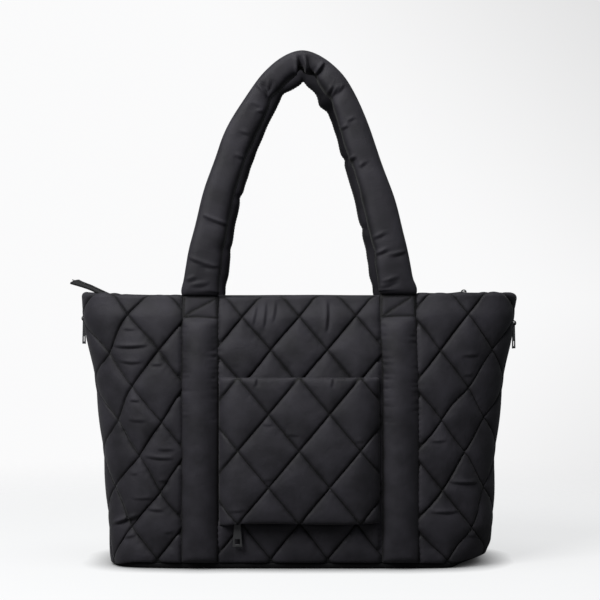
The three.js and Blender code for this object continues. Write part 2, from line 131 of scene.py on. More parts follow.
# %% World
SEEN_WHITE = (0.995, 0.995, 1.0, 1)
LIGHT_WHITE, LIGHT_STRENGTH = (0.9, 0.95, 1.0, 1), 0.12
SIDE_SHADE = {"From Min": 0.08, "From Max": 0.45, "To Min": 0.965, "To Max": 0.68}
SHADE_SLANT = 0.9  # the shade at the right reaches further in above and below
scene.view_settings.view_transform = "Standard"
world = bpy.data.worlds.new("studio")
scene.world = world
world.use_nodes = True
tree = world.node_tree
way = add_node(tree, "ShaderNodeTexCoord").outputs["Object"]
parts = add_node(tree, "ShaderNodeSeparateXYZ", {"Vector": way})
off_level = math_node(tree, "ABSOLUTE", parts.outputs["Z"])
slanted = math_node(tree, "MULTIPLY_ADD", off_level, SHADE_SLANT, parts.outputs["X"])
shade_values = {"Value": slanted, **SIDE_SHADE}
shade = add_node(tree, "ShaderNodeMapRange", shade_values, interpolation_type="SMOOTHSTEP")
backdrop = tree.nodes["Background"]
set_inputs(tree, backdrop, {"Color": SEEN_WHITE, "Strength": shade.outputs["Result"]})
dim = add_node(tree, "ShaderNodeBackground", {"Color": LIGHT_WHITE, "Strength": LIGHT_STRENGTH})
seen = add_node(tree, "ShaderNodeLightPath").outputs["Is Camera Ray"]
choice = mixed(tree, seen, dim.outputs["Background"], backdrop.outputs["Background"])
set_inputs(tree, tree.nodes["World Output"], {"Surface": choice})
print("world: white to the eye, a little greyer towards the right, and dimmer as a light")


# %% Lights
# place, what it aims at, size and power
LIGHTS = {
    "key": ((-1.2, -1.5, 1.9), (0, 0, 0.3), (1.2, 1.2), 62),
    "top": ((-0.1, -0.3, 2.3), (0, 0, 0.2), (1.4, 1.0), 18),
}


def soft_light(name, place, aim, size, power):
    data = bpy.data.lights.new(name, "AREA")
    data.shape = "RECTANGLE"
    data.size, data.size_y = size
    data.energy = power
    lamp = bpy.data.objects.new(name, data)
    lamp.location = place
    lamp.rotation_euler = (Vector(aim) - Vector(place)).to_track_quat("-Z", "Y").to_euler()
    scene.collection.objects.link(lamp)


for name, values in LIGHTS.items():
    soft_light(name, *values)
print("lights:", list(LIGHTS))


# %% Floor
def new_piece(name, bm):
    mesh = bpy.data.meshes.new(name)
    bm.to_mesh(mesh)
    bm.free()
    piece = bpy.data.objects.new(name, mesh)
    scene.collection.objects.link(piece)
    return piece


FLOOR_REACH = 2.2
FLOOR_PAINT = {"Base Color": (0.86, 0.865, 0.87, 1), "Roughness": 0.6, "Specular IOR Level": 0.2}
FLOOR_GLOW, GLOW_SHARE = (0.99, 0.995, 1.0, 1), 0.7
FLOOR_BOUNCE = (0.14, 0.14, 0.14, 1)  # its colour for the light that it throws back on the bag
CONTACT_REACH, CONTACT_POWER = 0.032, 1.5
FLOOR_FADE = {"From Min": 0.35, "From Max": 1.3}
bm = bmesh.new()
bmesh.ops.create_circle(bm, cap_ends=True, segments=96, radius=FLOOR_REACH)
floor = new_piece("floor", bm)
floor_finish, tree, paint = new_material("white_floor")
set_inputs(tree, paint, FLOOR_PAINT)
shelter = add_node(tree, "ShaderNodeAmbientOcclusion", {"Distance": CONTACT_REACH}).outputs["AO"]
contact = math_node(tree, "POWER", shelter, CONTACT_POWER)
glow = add_node(tree, "ShaderNodeEmission", {"Color": FLOOR_GLOW, "Strength": contact}).outputs["Emission"]
to_eye = mixed(tree, GLOW_SHARE, paint.outputs["BSDF"], glow)
to_bag = add_node(tree, "ShaderNodeBsdfDiffuse", {"Color": FLOOR_BOUNCE}).outputs["BSDF"]
seen = add_node(tree, "ShaderNodeLightPath").outputs["Is Camera Ray"]
surface = mixed(tree, seen, to_bag, to_eye)
place = add_node(tree, "ShaderNodeTexCoord").outputs["Object"]
away = add_node(tree, "ShaderNodeVectorMath", {0: place}, operation="LENGTH").outputs["Value"]
fade_values = {"Value": away, **FLOOR_FADE}
fade = add_node(tree, "ShaderNodeMapRange", fade_values, interpolation_type="SMOOTHSTEP").outputs["Result"]
clear = add_node(tree, "ShaderNodeBsdfTransparent").outputs["BSDF"]
set_inputs(tree, tree.nodes["Material Output"], {"Surface": mixed(tree, fade, surface, clear)})
floor.data.materials.append(floor_finish)
print("floor:", len(floor.data.polygons), "face")

# %% [markdown]
# ## The shape that the cloth is sewn into
# The walls follow a plan that is a rounded rectangle, wider and flatter towards the rim. A place on the
# cloth is u, the way along the cloth from the middle of the front, and z, the height. `wall_points`
# carries such places to space, moved out from the wall's inner face by some way.

# %% Tables of the walls
RIM = 281.0
SEAM = 2.0  # quilted cloth where it is sewn through
GAP = 0.3
BASE_TOP = 8.0
SIDE_ZIP_HALF = 6.0
# height, half width, half depth, squareness of the corners
SECTIONS = (
    (0, 192, 69.5, 6),
    (12, 192.5, 72, 5.6),
    (50, 196, 76, 4.6),
    (120, 202, 77.5, 4.2),
    (200, 211.5, 73, 4.3),
    (250, 219, 65, 4.8),
    (RIM, 224, 58, 5.2),
)
ANGLES = np.linspace(0, math.pi / 2, 241)


def smooth_rows(rows, at):
    """Rows of a table at places of its first column, on a smooth line through them."""
    table = np.array(rows, float)
    key, last = table[:, 0], len(table) - 1
    i = np.clip(np.searchsorted(key, at) - 1, 0, last - 1)
    before, after = np.clip(i - 1, 0, last), np.clip(i + 2, 0, last)
    span = key[i + 1] - key[i]
    t = ((at - key[i]) / span)[:, None]
    leave = (table[i + 1] - table[before]) * (span / (key[i + 1] - key[before]))[:, None]
    arrive = (table[after] - table[i]) * (span / (key[after] - key[i]))[:, None]
    share = 2 * t**3 - 3 * t**2 + 1
    bend = (t**3 - 2 * t**2 + t) * leave + (t**3 - t**2) * arrive
    return share * table[i] + (1 - share) * table[i + 1] + bend


print("wall sections:", len(SECTIONS))


# %% Places on the walls
FOOT_HANG = 2.0  # how far the walls hang over the base
CORNER_DROOP = (-0.5, -1.0, -4.5)  # how much further the front's left lower corner hangs
CORNER_TUCK = (0.0, 12.0, 3.0)  # how far its right lower corner has drawn back and up
RIGHT_FULL = 3.0  # how far the right side swells low down
LEFT_FULL = -1.6  # and the left side under the rim
# the way along the cloth, and how far the rim stands above or below its level there
RIM_LINE = (
    (-262, 2.5),
    (-235, 0.8),
    (-200, 1.5),
    (-165, 0.2),
    (-120, -0.3),
    (-75, -1.4),
    (-10, -1.4),
    (35, 0),
    (75, -0.4),
    (125, 1.7),
    (155, 2.6),
    (200, 2.2),
    (220, 0.8),
    (240, -1.5),
    (262, -7),
)


def smooth_step(value, start, end):
    t = np.clip((value - start) / (end - start), 0, 1)
    return t * t * (3 - 2 * t)


def fall(value, start, end):
    """1 up to the start, and smoothly down to 0 at the end."""
    return 1 - smooth_step(value, start, end)


def hump(value, start, full, wane, end):
    """Smoothly up from 0 to 1, and back to 0 further on."""
    return smooth_step(value, start, full) * fall(value, wane, end)


def settle(u, z):
    """How far the cloth of the standing bag has sagged in or out, from place to place."""
    calm = smooth_step(z, 60, 110) * fall(np.abs(u), 165, 200)
    return calm * (0.9 * np.sin(u / 61 + z / 83 + 1) + 0.7 * np.sin(u / 37 - z / 59 + 2.2))


def rim_wave(u, z):
    lift = smooth_rows(RIM_LINE, np.clip(u, -261.5, 261.5))[:, 1]
    return smooth_step(z, 225, RIM) * (lift + 0.5 * np.sin(u / 19 + 2))


def wall_plan(z):
    """A quarter of the plan at each height, with the way along it."""
    section = smooth_rows(SECTIONS, np.clip(z, 0, RIM))
    power = 2 / section[:, 3:4]
    x = section[:, 1:2] * np.sin(ANGLES) ** power
    y = -section[:, 2:3] * np.cos(ANGLES) ** power
    steps = np.hypot(np.diff(x), np.diff(y))
    along = np.hstack([np.zeros((len(z), 1)), np.cumsum(steps, axis=1)])
    return x, y, along


def wall_points(u, z, out, rear=False):
    """Points of the front half. The rear half is the same, turned round, but its rim follows the front's."""
    u, z, out = np.broadcast_arrays(np.asarray(u, float), np.asarray(z, float), np.asarray(out, float))
    x, y, along = wall_plan(z)
    reach = np.minimum(np.abs(u), along[:, -1])
    row = np.arange(len(z))
    i = np.clip((along < reach[:, None]).sum(axis=1), 1, ANGLES.size - 1)
    length = along[row, i] - along[row, i - 1]
    share = (reach - along[row, i - 1]) / length
    run_x = (x[row, i] - x[row, i - 1]) / length
    run_y = (y[row, i] - y[row, i - 1]) / length
    side = np.where(u < 0, -1, 1)
    away = out + settle(u, z)
    px = x[row, i - 1] + share * (x[row, i] - x[row, i - 1]) + run_y * away
    py = y[row, i - 1] + share * (y[row, i] - y[row, i - 1]) - run_x * away
    return np.stack([side * px, py, z + rim_wave(-u if rear else u, z)], axis=1)


def half_girth(z):
    return wall_plan(np.atleast_1d(np.asarray(z, float)))[2][:, -1]


def standing(points, rear=False):
    """Points of the front half where they stand: turned round for the rear, sagged and swollen in places."""
    x, y, z = (points * ((-1, -1, 1) if rear else 1)).T
    above_floor = np.clip(z / BASE_TOP, 0, 1)
    in_front = fall(y, -30, 30)
    drooped = in_front * smooth_step(-x, 165, 195) * above_floor * fall(z, 10, 45)
    tucked = in_front * smooth_step(x, 150, 194) * above_floor * fall(z, 6, 45)
    moved = drooped[:, None] * CORNER_DROOP + tucked[:, None] * CORNER_TUCK
    moved[:, 2] -= FOOT_HANG * above_floor * fall(z, BASE_TOP, 60)
    moved[:, 0] += RIGHT_FULL * smooth_step(x, 150, 190) * hump(z, 8, 25, 50, 110)
    moved[:, 0] += LEFT_FULL * smooth_step(-x, 195, 220) * hump(z, 228, 250, 262, 280)
    return np.stack([x, y, z], axis=1) + moved


print("cloth from the front's middle to a side zip:", half_girth([10, 140, 280]).round(), "mm")

# %% [markdown]
# ## Quilting
# A quilted panel is two cloths with wadding between them, sewn through along crossing lines. The quick
# way is to push a surface out with a formula, but real puffs pucker at their seams and fold where there
# is too much cloth. So the panel is a grid laid on the bias, with its edges along the sewing lines. The
# lines are pinned, the cloth between them is cut a little large, and Blender's cloth simulation blows it
# up.


# %% A grid on the bias
SLIVER = 0.7  # points that the cropping leaves closer than this are merged


def bias_sheet(cell, cells, cuts, low, high, centre_v):
    """A flat sheet whose grid lines run along the quilting, cropped to a rectangle. Millimetres."""
    bm = bmesh.new()
    bmesh.ops.create_grid(bm, x_segments=cells * cuts, y_segments=cells * cuts, size=cells / 2)
    w, h = cell[0] / 2, cell[1] / 2
    bias = Matrix(((w, w, 0, 0), (-h, h, 0, centre_v), (0, 0, 1, 0), (0, 0, 0, 1)))
    bmesh.ops.transform(bm, matrix=bias, verts=bm.verts)
    for axis in (0, 1):
        for edge, sign in ((low[axis], -1), (high[axis], 1)):
            normal, point = Vector(), Vector()
            normal[axis], point[axis] = sign, edge
            plane = {"plane_co": point, "plane_no": normal, "clear_outer": True}
            bmesh.ops.bisect_plane(bm, geom=bm.verts[:] + bm.edges[:] + bm.faces[:], dist=1e-3, **plane)
    bmesh.ops.remove_doubles(bm, verts=bm.verts, dist=SLIVER)
    return bm


def as_sheet(bm):
    """The bmesh as a mesh, and which of its points lie on its border."""
    border = np.array([vert.is_boundary for vert in bm.verts])
    mesh = bpy.data.meshes.new("sheet")
    bm.to_mesh(mesh)
    bm.free()
    return mesh, border


def from_line(values):
    """How far values are from the nearest whole number."""
    return np.abs(values - np.round(values))


def quilt_lines(points, cell, centre_v):
    """The two counts of quilting lines at flat points: whole numbers lie on a line."""
    across = points[:, 0] / cell[0]
    up = (points[:, 1] - centre_v) / cell[1]
    return across - up, across + up


def coordinates(mesh):
    flat = np.empty(len(mesh.vertices) * 3)
    mesh.vertices.foreach_get("co", flat)
    return flat.reshape(-1, 3)


print("quilting helpers ready")

# %% Blow up a sheet
SIM_SCALE = 0.02  # simulation units for each millimetre: cloth behaves best at the size of a person
DRAWN_IN = 10  # frame at which the held points have reached their places
FRAMES = 26
CLOTH_STEPS, AIR_DAMPING = 5, 2


def inflate(mesh, held, fill, cut, sewn, pressure=5.0, bending=0.08):
    """Where the points of a sheet end when it is cut too large, drawn in at its held points and filled."""
    piece = bpy.data.objects.new("inflating", mesh.copy())
    scene.collection.objects.link(piece)
    piece.data.vertices.foreach_set("co", (cut * SIM_SCALE).ravel())
    piece.shape_key_add(name="cut")
    drawn = piece.shape_key_add(name="sewn")
    drawn.data.foreach_set("co", (sewn * SIM_SCALE).ravel())
    for value, step in ((0, 1), (1, DRAWN_IN)):
        drawn.value = value
        drawn.keyframe_insert("value", frame=step)
    pins = piece.vertex_groups.new(name="held")
    pins.add(np.nonzero(held)[0].tolist(), 1.0, "REPLACE")
    wadding = piece.vertex_groups.new(name="fill")
    for i, weight in enumerate(fill.tolist()):
        wadding.add([i], weight, "REPLACE")
    cloth = piece.modifiers.new("cloth", "CLOTH")
    sim = cloth.settings
    sim.quality = CLOTH_STEPS
    sim.bending_stiffness = bending
    sim.air_damping = AIR_DAMPING
    sim.use_pressure = True
    sim.uniform_pressure_force = pressure
    sim.vertex_group_pressure = "fill"
    sim.vertex_group_mass = "held"
    sim.effector_weights.gravity = 0
    cloth.collision_settings.use_collision = False
    cloth.point_cache.frame_end = FRAMES
    for step in range(1, FRAMES + 1):
        scene.frame_set(step)
    result = piece.evaluated_get(bpy.context.evaluated_depsgraph_get())
    points = coordinates(result.to_mesh()) / SIM_SCALE
    scene.frame_set(1)
    bpy.data.objects.remove(piece)
    return points


print("cloth simulation ready, skipped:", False)


# %% Refine a sheet
def refined(sheet, points, sewn):
    """The sheet with every face cut smoothly in four: a mesh, its flat places and its puffed places."""
    piece = bpy.data.objects.new("refining", sheet.copy())
    scene.collection.objects.link(piece)
    flat = piece.data.attributes.new("flat", "FLOAT_VECTOR", "POINT")
    flat.data.foreach_set("vector", coordinates(sheet).ravel())
    piece.data.vertices.foreach_set("co", points.ravel())
    ends = np.empty(len(sheet.edges) * 2, int)
    sheet.edges.foreach_get("vertices", ends)
    crease = piece.data.attributes.new("crease_edge", "FLOAT", "EDGE")
    crease.data.foreach_set("value", sewn[ends.reshape(-1, 2)].all(axis=1).astype(float))
    smooth = piece.modifiers.new("smooth", "SUBSURF")
    smooth.levels = smooth.render_levels = 1
    fine = bpy.data.meshes.new_from_object(piece.evaluated_get(bpy.context.evaluated_depsgraph_get()))
    bpy.data.objects.remove(piece)
    places = np.empty(len(fine.vertices) * 3)
    fine.attributes["flat"].data.foreach_get("vector", places)
    return fine, places.reshape(-1, 3), coordinates(fine)


# %% Creases
FOLD_WIDTH = 1.4
FOLD_BOW = 0.04  # how far a fold bows, as a share of its length
FOLD_OVER = 0.65  # how high the cloth beside a fold stands, as a share of its depth


def crease_push(flat, rows):
    """How far folds push the cloth in or out. A row is a fold's two ends and its depth. The cloth on the
    left of its run hangs over it."""
    push = np.zeros(len(flat))
    for from_u, from_v, to_u, to_v, deep in rows:
        run = np.array((to_u - from_u, to_v - from_v), float)
        length = np.hypot(*run)
        away = flat[:, :2] - (from_u, from_v)
        along = away @ run / length**2
        beside = (away[:, 1] * run[0] - away[:, 0] * run[1]) / length
        opened = np.clip(1 - (2 * along - 1) ** 2, 0, 1)
        beside = beside + FOLD_BOW * length * opened
        over = np.exp(-(((beside - 2.2 * FOLD_WIDTH) / (1.4 * FOLD_WIDTH)) ** 2))
        steep, gentle = np.clip(beside, 0, None) / FOLD_WIDTH, np.clip(beside, None, 0) / (3 * FOLD_WIDTH)
        under = np.exp(-(steep**2)) * np.exp(gentle)
        push += deep * opened * (FOLD_OVER * over - under)
    return push


def chance_creases(count, low, high, seed):
    """Folds at chance places of a rectangle, nearly level, for the sides that the picture doesn't show."""
    rng = np.random.default_rng(seed)
    rows = []
    for u, v in rng.uniform(low, high, (count, 2)):
        half, lean = rng.uniform(7, 15), rng.uniform(-3, 3)
        rows.append((u - half, v - lean, u + half, v + lean, rng.uniform(0.8, 1.7)))
    return rows


def near_creases(places, rows, reach=4.5):
    """Which flat places are near a fold."""
    near = np.zeros(len(places), bool)
    for from_u, from_v, to_u, to_v, deep in rows:
        start, run = np.array((from_u, from_v)), np.array((to_u - from_u, to_v - from_v))
        share = np.clip((places - start) @ run / (run @ run), 0, 1)
        near |= np.linalg.norm(places - start - share[:, None] * run, axis=1) < reach
    return near


def finer(mesh, near, flat, points, seam):
    """Cut the faces near some points in four. The tables of the points grow to match."""
    bm = bmesh.new()
    bm.from_mesh(mesh)
    flat_layer = bm.verts.layers.float_vector.new("flat_place")
    puff_layer = bm.verts.layers.float_vector.new("puffed_place")
    # painted shade of the sewn lines' grooves
    seam_shade_layer = bm.verts.layers.float.new("sewing")
    for vert in bm.verts:
        vert[flat_layer] = flat[vert.index]
        vert[puff_layer] = points[vert.index]
        vert[seam_shade_layer] = seam[vert.index]
    edges = [edge for edge in bm.edges if all(near[vert.index] for vert in edge.verts)]
    bmesh.ops.subdivide_edges(bm, edges=edges, cuts=1, use_grid_fill=True)
    flat, points = (np.array([vert[layer] for vert in bm.verts]) for layer in (flat_layer, puff_layer))
    seam = np.array([vert[seam_shade_layer] for vert in bm.verts])
    bm.to_mesh(mesh)
    bm.free()
    return flat, points, seam


print("creases ready")


# %% Close a sheet into a piece
def only(parts, kind):
    return [part for part in parts if isinstance(part, kind)]


def doubled(bm):
    """Lay a second layer on a sheet and close the edge between them. Gives the second layer's points."""
    whole = bm.faces[:] + bm.edges[:] + bm.verts[:]
    made = bmesh.ops.extrude_face_region(bm, geom=whole, use_keep_orig=True)
    return only(made["geom"], bmesh.types.BMVert)


def close_shell(name, sheet, flat, outer, inner, seam):
    """A closed piece from a sheet: face, back and the edge between them. The last argument is painted shade,
    1 on a sewn line.
    """
    bm = bmesh.new()
    bm.from_mesh(sheet)
    cloth_uv = bm.loops.layers.uv.new("cloth")
    place = bm.verts.layers.int.new("place")
    # painted shade along the sewn lines, which the cloth finish reads
    sewn = bm.verts.layers.float.new("seam")
    for vert in bm.verts:
        vert[place] = vert.index
        vert[sewn] = seam[vert.index]
    for face in bm.faces:
        face.smooth = True
        for loop in face.loops:
            loop[cloth_uv].uv = flat[loop.vert.index, :2] * MM
    backs = set(doubled(bm))
    for vert in bm.verts:
        vert.co = Vector((inner if vert in backs else outer)[vert[place]]) * MM
    bmesh.ops.recalc_face_normals(bm, faces=bm.faces)
    return new_piece(name, bm)


def hand_in(piece, node, body="tote"):
    """Put a piece in its CAD node's place."""
    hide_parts(node)
    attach(piece, body)
    print(piece.name, "stands for", node, "with", len(piece.data.polygons), "faces")


def hand_in_trim(piece, body="tote"):
    """Small trim that the CAD leaves out, such as thread."""
    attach(piece, body)
    print(piece.name, "is trim with", len(piece.data.polygons), "faces")


# %% [markdown]
# ## The walls
# Each wall is one quilted panel that wraps round to the middle of both sides. It is flat under the bands,
# lies nearly flat behind the pocket, and rolls over at the rim. The sheet is simulated flat, which keeps
# the lines straight, and is then carried onto the wall. Wadding stops the puffs from growing round, so
# their tops are flattened, and the folds that the picture shows are pressed in last.

# %% Sizes of the walls
QUILT = (58.0, 70.4)  # one diamond, across and up
QUILT_CENTRE = 117.6  # height of a crossing in the middle of the front
PANEL_HALF = 261.0  # half the panel's width before its ends are fitted to the sides
EVEN_HALF = 174.0
ROLL_START = 276.4
ROLL_RADIUS = 2.6
ROLL_CLOTH = 5.0  # radius of the roll with its wadding
WALL_LOW = BASE_TOP + GAP
WALL_HIGH = ROLL_START + 0.9 * math.pi * ROLL_CLOTH
BAND_X, BAND_HALF = 101.5, 19.0
POCKET_LOW, POCKET_HIGH, POCKET_HALF = 48.0, 196.0, 81.7
CUTS = 12
PUFF = 9.0
CUT_SHARE, DRAWN_SHARE = 0.5, 0.8  # of that height, as the cloth is cut and when it is drawn in
UNEVEN = (0.6, 1.4)  # the diamonds start lower or higher than that
WALL_SLACK = (0.035, 0.06)  # how much too large the panel is cut, along and up
EDGE_RISE, EDGE_SOFT = 2.6, 0.7  # a puff rises steeply beside its seam
CROWN_HIGH, CROWN_SHARE = 5.2, 0.5  # and then crowns gently, up to the wadding's height
SEAM_SHADE_REACH = 1.5  # how far the painted shade in a sewn line's groove reaches
DRAWN, DRAWN_REACH = 0.85, 2.8  # the sewing draws the cloth beside it close
CREASE_DEEP = 0.8
# where the front's sewing has drifted most: the place, its reach along and up, and how far along and up
FRONT_DRIFTS = (
    (-178, 118, 42, 62, 11.5, -1),
    (-178, 262, 26, 26, -1.8, -1),
    (-206, 223, 24, 28, 7.5, -4),
    (-206, 153, 24, 30, 7, 1.4),
    (-145, 153, 22, 24, 2.8, -2),
    (-145, 82, 22, 24, -1.4, -4),
    (-174, 47, 24, 22, -2.5, -5),
    (177, 120, 34, 80, -5, 0),
    (152, 244, 28, 28, 1.5, 3.5),
    (140, 95, 24, 60, 2.2, -2.5),
    (174, 188, 24, 24, 3, -4.5),
    (203, 153, 22, 26, -5, 0),
    (203, 82, 22, 26, -7, 2),
    (174, 118, 20, 20, 0, 2.3),
    (174, 47, 22, 20, 2, -3.5),
    (146, 10, 24, 24, 6.5, -1),
    (236, 268, 16, 30, 9, 0),
    (-236, 258, 18, 34, -10, -3),
)
# folds of the front: from u and height to u and height, and depth
FRONT_CREASES = (
    (-182, 243, -166, 243, 0.9),
    (-192, 226, -154, 227, 2.4),
    (-185, 211, -159, 210, 1.6),
    (-152, 207, -138, 207, 0.9),
    (-173, 170, -161, 170, 1.3),
    (-174, 151, -155, 150, 1.1),
    (-185, 140, -176, 140, 1.0),
    (-144, 121, -126, 121, 1.0),
    (-157, 114, -127, 112, 1.8),
    (-143, 89, -131, 90, 1.3),
    (-171, 71, -143, 72, 1.1),
    (-172, 95, -163, 95, 0.8),
    (-156, 60, -137, 58, 1.4),
    (-200, 43, -160, 55, 3.6),
    (-187, 30, -166, 33, 1.5),
    (-138, 37, -126, 38, 0.8),
    (166, 217, 184, 217, 1.3),
    (168, 197, 177, 197, 1.0),
    (134, 129, 150, 129, 1.1),
    (150, 88, 184, 86, 2.1),
    (132, 57, 163, 57, 1.8),
    (169, 32, 182, 31, 0.9),
    (29, 242, 30, 276, 2.6),
    (-35, 246, -33, 275, 1.6),
    (-26, 252, -23, 275, 1.3),
    (-46, 248, -42, 273, 1.3),
)
print("wall panel:", 2 * PANEL_HALF, "by", round(WALL_HIGH - WALL_LOW), "mm of cloth")


# %% Carry flat cloth onto a wall
def on_wall(points, rear, back=False):
    u, v, w = points.T
    turn = np.clip((v - ROLL_START) / ROLL_CLOTH, 0, None)
    radius = ROLL_RADIUS - SEAM if back else ROLL_RADIUS + w
    height = np.minimum(v, ROLL_START) + radius * np.sin(turn)
    out = SEAM - ROLL_RADIUS + radius * np.cos(turn)
    end = half_girth(height) - SIDE_ZIP_HALF
    beyond = np.clip(np.abs(u) - EVEN_HALF, 0, None) / (PANEL_HALF - EVEN_HALF)
    along = np.minimum(np.abs(u), EVEN_HALF) + beyond * (end - EVEN_HALF)
    return wall_points(np.sign(u) * along, height, out, rear)


def diamond_chance(a, b, seed, low, high):
    """A number of its own for each diamond."""
    table = np.random.default_rng(seed).uniform(low, high, (64, 64))
    return table[np.floor(a).astype(int) % 64, np.floor(b).astype(int) % 64]


def plump(height):
    """The height of a puff that wadding fills, from the height that it was blown up to."""
    rise = EDGE_RISE * (1 - np.exp(-height / EDGE_SOFT))
    return rise + CROWN_HIGH * np.tanh(CROWN_SHARE * height / CROWN_HIGH)


def drawn_close(points, cell, centre_v, low, high):
    """How far the cloth beside the sewing lines moves towards them. The border of the panel stays."""
    spacing = cell[0] * cell[1] / math.hypot(*cell)
    pulled = []
    for count in quilt_lines(points, cell, centre_v):
        past = count - np.round(count)
        pulled.append(-past * DRAWN * np.exp(-((past * spacing / DRAWN_REACH) ** 2)))
    edge = np.minimum(points[:, :2] - low, np.array(high) - points[:, :2]).min(axis=1)
    moved = np.stack([pulled[0] + pulled[1], pulled[1] - pulled[0]], axis=1) * cell / 2
    return moved * smooth_step(edge, 0, 6)[:, None]


def drift(u, v, rear):
    """How far the sewing has drifted from its plan, along and up: lines laid by hand don't meet evenly."""
    free = hump(v, WALL_LOW, 40, 262, 280) * fall(np.abs(u), 225, 255)
    loose = free * (0.35 + 0.65 * smooth_step(np.abs(u), 120, 150))
    turn = 2.0 if rear else 0.0
    along = loose * (1.5 * np.sin(u / 29 + v / 43 + turn) + 0.9 * np.sin(u / 17 - v / 23 + 1 + turn))
    up = loose * (1.5 * np.sin(u / 37 - v / 31 + 2 + turn) + 0.8 * np.sin(u / 19 + v / 15 + turn))
    off_edge = fall(np.abs(u), 236, PANEL_HALF)
    off_rim = fall(v, 264, 282)
    for at_u, at_v, wide, high, far_along, far_up in () if rear else FRONT_DRIFTS:
        near = off_edge * np.exp(-(((u - at_u) / wide) ** 2) - ((v - at_v) / high) ** 2)
        along = along + far_along * near
        up = up + far_up * near * off_rim
    return along, up


def quilted(sheet, cell, centre_v, held, fill, seed, slack, low, high):
    """A bias sheet blown up as quilting: the fine sheet, its flat places, its puffs and the painted shade
    along its sewn lines.
    """
    flat = coordinates(sheet)
    a, b = quilt_lines(flat, cell, centre_v)
    sewn = (from_line(a) < 0.01) | (from_line(b) < 0.01)
    held = held | sewn
    start = np.sqrt(np.abs(np.sin(np.pi * a) * np.sin(np.pi * b))) * fill * ~held
    drawn, cut = flat.copy(), flat.copy()
    drawn[:, 2] = DRAWN_SHARE * PUFF * start
    cut[:, 2] = CUT_SHARE * PUFF * start * diamond_chance(a, b, seed, *UNEVEN)
    cut[:, :2] *= 1 + np.array(slack)
    points = inflate(sheet, held, np.where(held, 0, fill), cut, drawn)
    fine, flat, points = refined(sheet, points, held)
    points[:, 2] = plump(np.clip(points[:, 2], 0, None))
    points[:, :2] += drawn_close(flat, cell, centre_v, low, high)
    a, b = quilt_lines(flat, cell, centre_v)
    spacing = cell[0] * cell[1] / math.hypot(*cell)
    # painted shade: 1 in the groove of a sewn line and fading away from it, which darkens the cloth there
    seam = np.exp(-np.minimum(from_line(a), from_line(b)) * spacing / SEAM_SHADE_REACH)
    return fine, flat, points, seam


# %% The two walls
PULL_U = -62.8  # where the pocket's pull hangs
SIDE_FLAT = 0.4  # how much flatter the puffs are at the sides,
RIM_FLAT, RIM_FLAT_LESS = 0.65, 0.4  # under the rim, and how much less so at its ends,
BEHIND_FLAT = 0.88  # behind the pocket
PULL_FLAT = 0.55  # and behind its pull


def wall_fullness(u, v, rear):
    """The share of its height that the wadding keeps: less at the sides, the rim and behind the pocket."""
    at_end = smooth_step(np.abs(u), 180, 212)
    side = SIDE_FLAT * smooth_step(np.abs(u), 160, 210) * fall(v, 205, 245)
    share = (1 - side) * (1 - (RIM_FLAT - RIM_FLAT_LESS * at_end) * smooth_step(v, 256, 277))
    if not rear:
        up_to_mouth = fall(v, POCKET_HIGH - 16, POCKET_HIGH - 3)
        behind = (np.abs(u) < BAND_X) * up_to_mouth * smooth_step(v, POCKET_LOW - 4, POCKET_LOW + 5)
        by_pull = np.exp(-(((u - PULL_U) / 15) ** 2)) * fall(v, 50, 70)
        share = share * (1 - BEHIND_FLAT * behind) * (1 - PULL_FLAT * by_pull)
    return share


def quilted_wall(name, rear, seed, creases):
    low, high = (-PANEL_HALF, WALL_LOW), (PANEL_HALF, WALL_HIGH)
    sheet, border = as_sheet(bias_sheet(QUILT, 14, CUTS, low, high, QUILT_CENTRE))
    u, v = coordinates(sheet)[:, :2].T
    under_band = np.abs(np.abs(u) - BAND_X) < BAND_HALF + 0.5
    fill = 1 - 0.35 * smooth_step(np.abs(u), EVEN_HALF, PANEL_HALF)
    held = border | under_band
    fine, flat, points, seam = quilted(sheet, QUILT, QUILT_CENTRE, held, fill, seed, WALL_SLACK, low, high)
    if not rear:
        sewn_at = flat[:, :2] + np.stack(drift(*flat[:, :2].T, rear), axis=1)
        flat, points, seam = finer(fine, near_creases(sewn_at, creases), flat, points, seam)
    u, v = flat[:, 0], flat[:, 1]
    points[:, 2] *= wall_fullness(u, v, rear)
    along, up = drift(u, v, rear)
    sewn_at = np.stack([u + along, v + up], axis=1)
    points[:, 2] += CREASE_DEEP * crease_push(sewn_at, creases) * smooth_step(points[:, 2], 0.3, 3.5)
    points[:, 2] = np.clip(points[:, 2], 0, None)
    points[:, :2] += sewn_at - flat[:, :2]
    outer = standing(on_wall(points, rear), rear)
    inner = standing(on_wall(flat, rear, back=True), rear)
    return close_shell(name, fine, flat, outer, inner, seam)


REAR_CREASES = chance_creases(34, (-195, 25), (195, 255), 17)
front_wall = quilted_wall("quilted_front", False, 5, FRONT_CREASES)
rear_wall = quilted_wall("quilted_rear", True, 9, REAR_CREASES)
hand_in(front_wall, "front_wall")
hand_in(rear_wall, "rear_wall")

# %% [markdown]
# ## The pocket
# The pocket is a smaller quilted panel with larger diamonds. It hangs between the bands, stands off the
# wall, and stands off most at its hem, which throws a dark shadow on the wall.

# %% Pocket
POCKET_QUILT = (62.0, 74.0)
POCKET_CENTRE = 122.0
POCKET_STANDS = (13.0, 9.5)  # off the wall at the hem and at the mouth
POCKET_SLACK = (0.035, 0.055)
POCKET_SEED = 21
POCKET_CREASES = (
    (-78, 61, -52, 61, 1.0),
    (-38, 92, -25, 93, 0.9),
    (-38, 147, -27, 146, 0.9),
    (-14, 138, 1, 137, 0.9),
    (-43, 186, -42, 198, 1.6),
    (34, 186, 35, 198, 1.6),
    (20, 79, 36, 80, 0.8),
    (52, 131, 66, 131, 0.8),
)


def pocket_back(u, z):
    up = np.clip((z - POCKET_LOW) / (POCKET_HIGH - POCKET_LOW), 0, 1)
    stands = POCKET_STANDS[0] + up * (POCKET_STANDS[1] - POCKET_STANDS[0])
    return SEAM + GAP + stands * (1 - np.minimum(1, np.abs(u) / POCKET_HALF) ** 8)


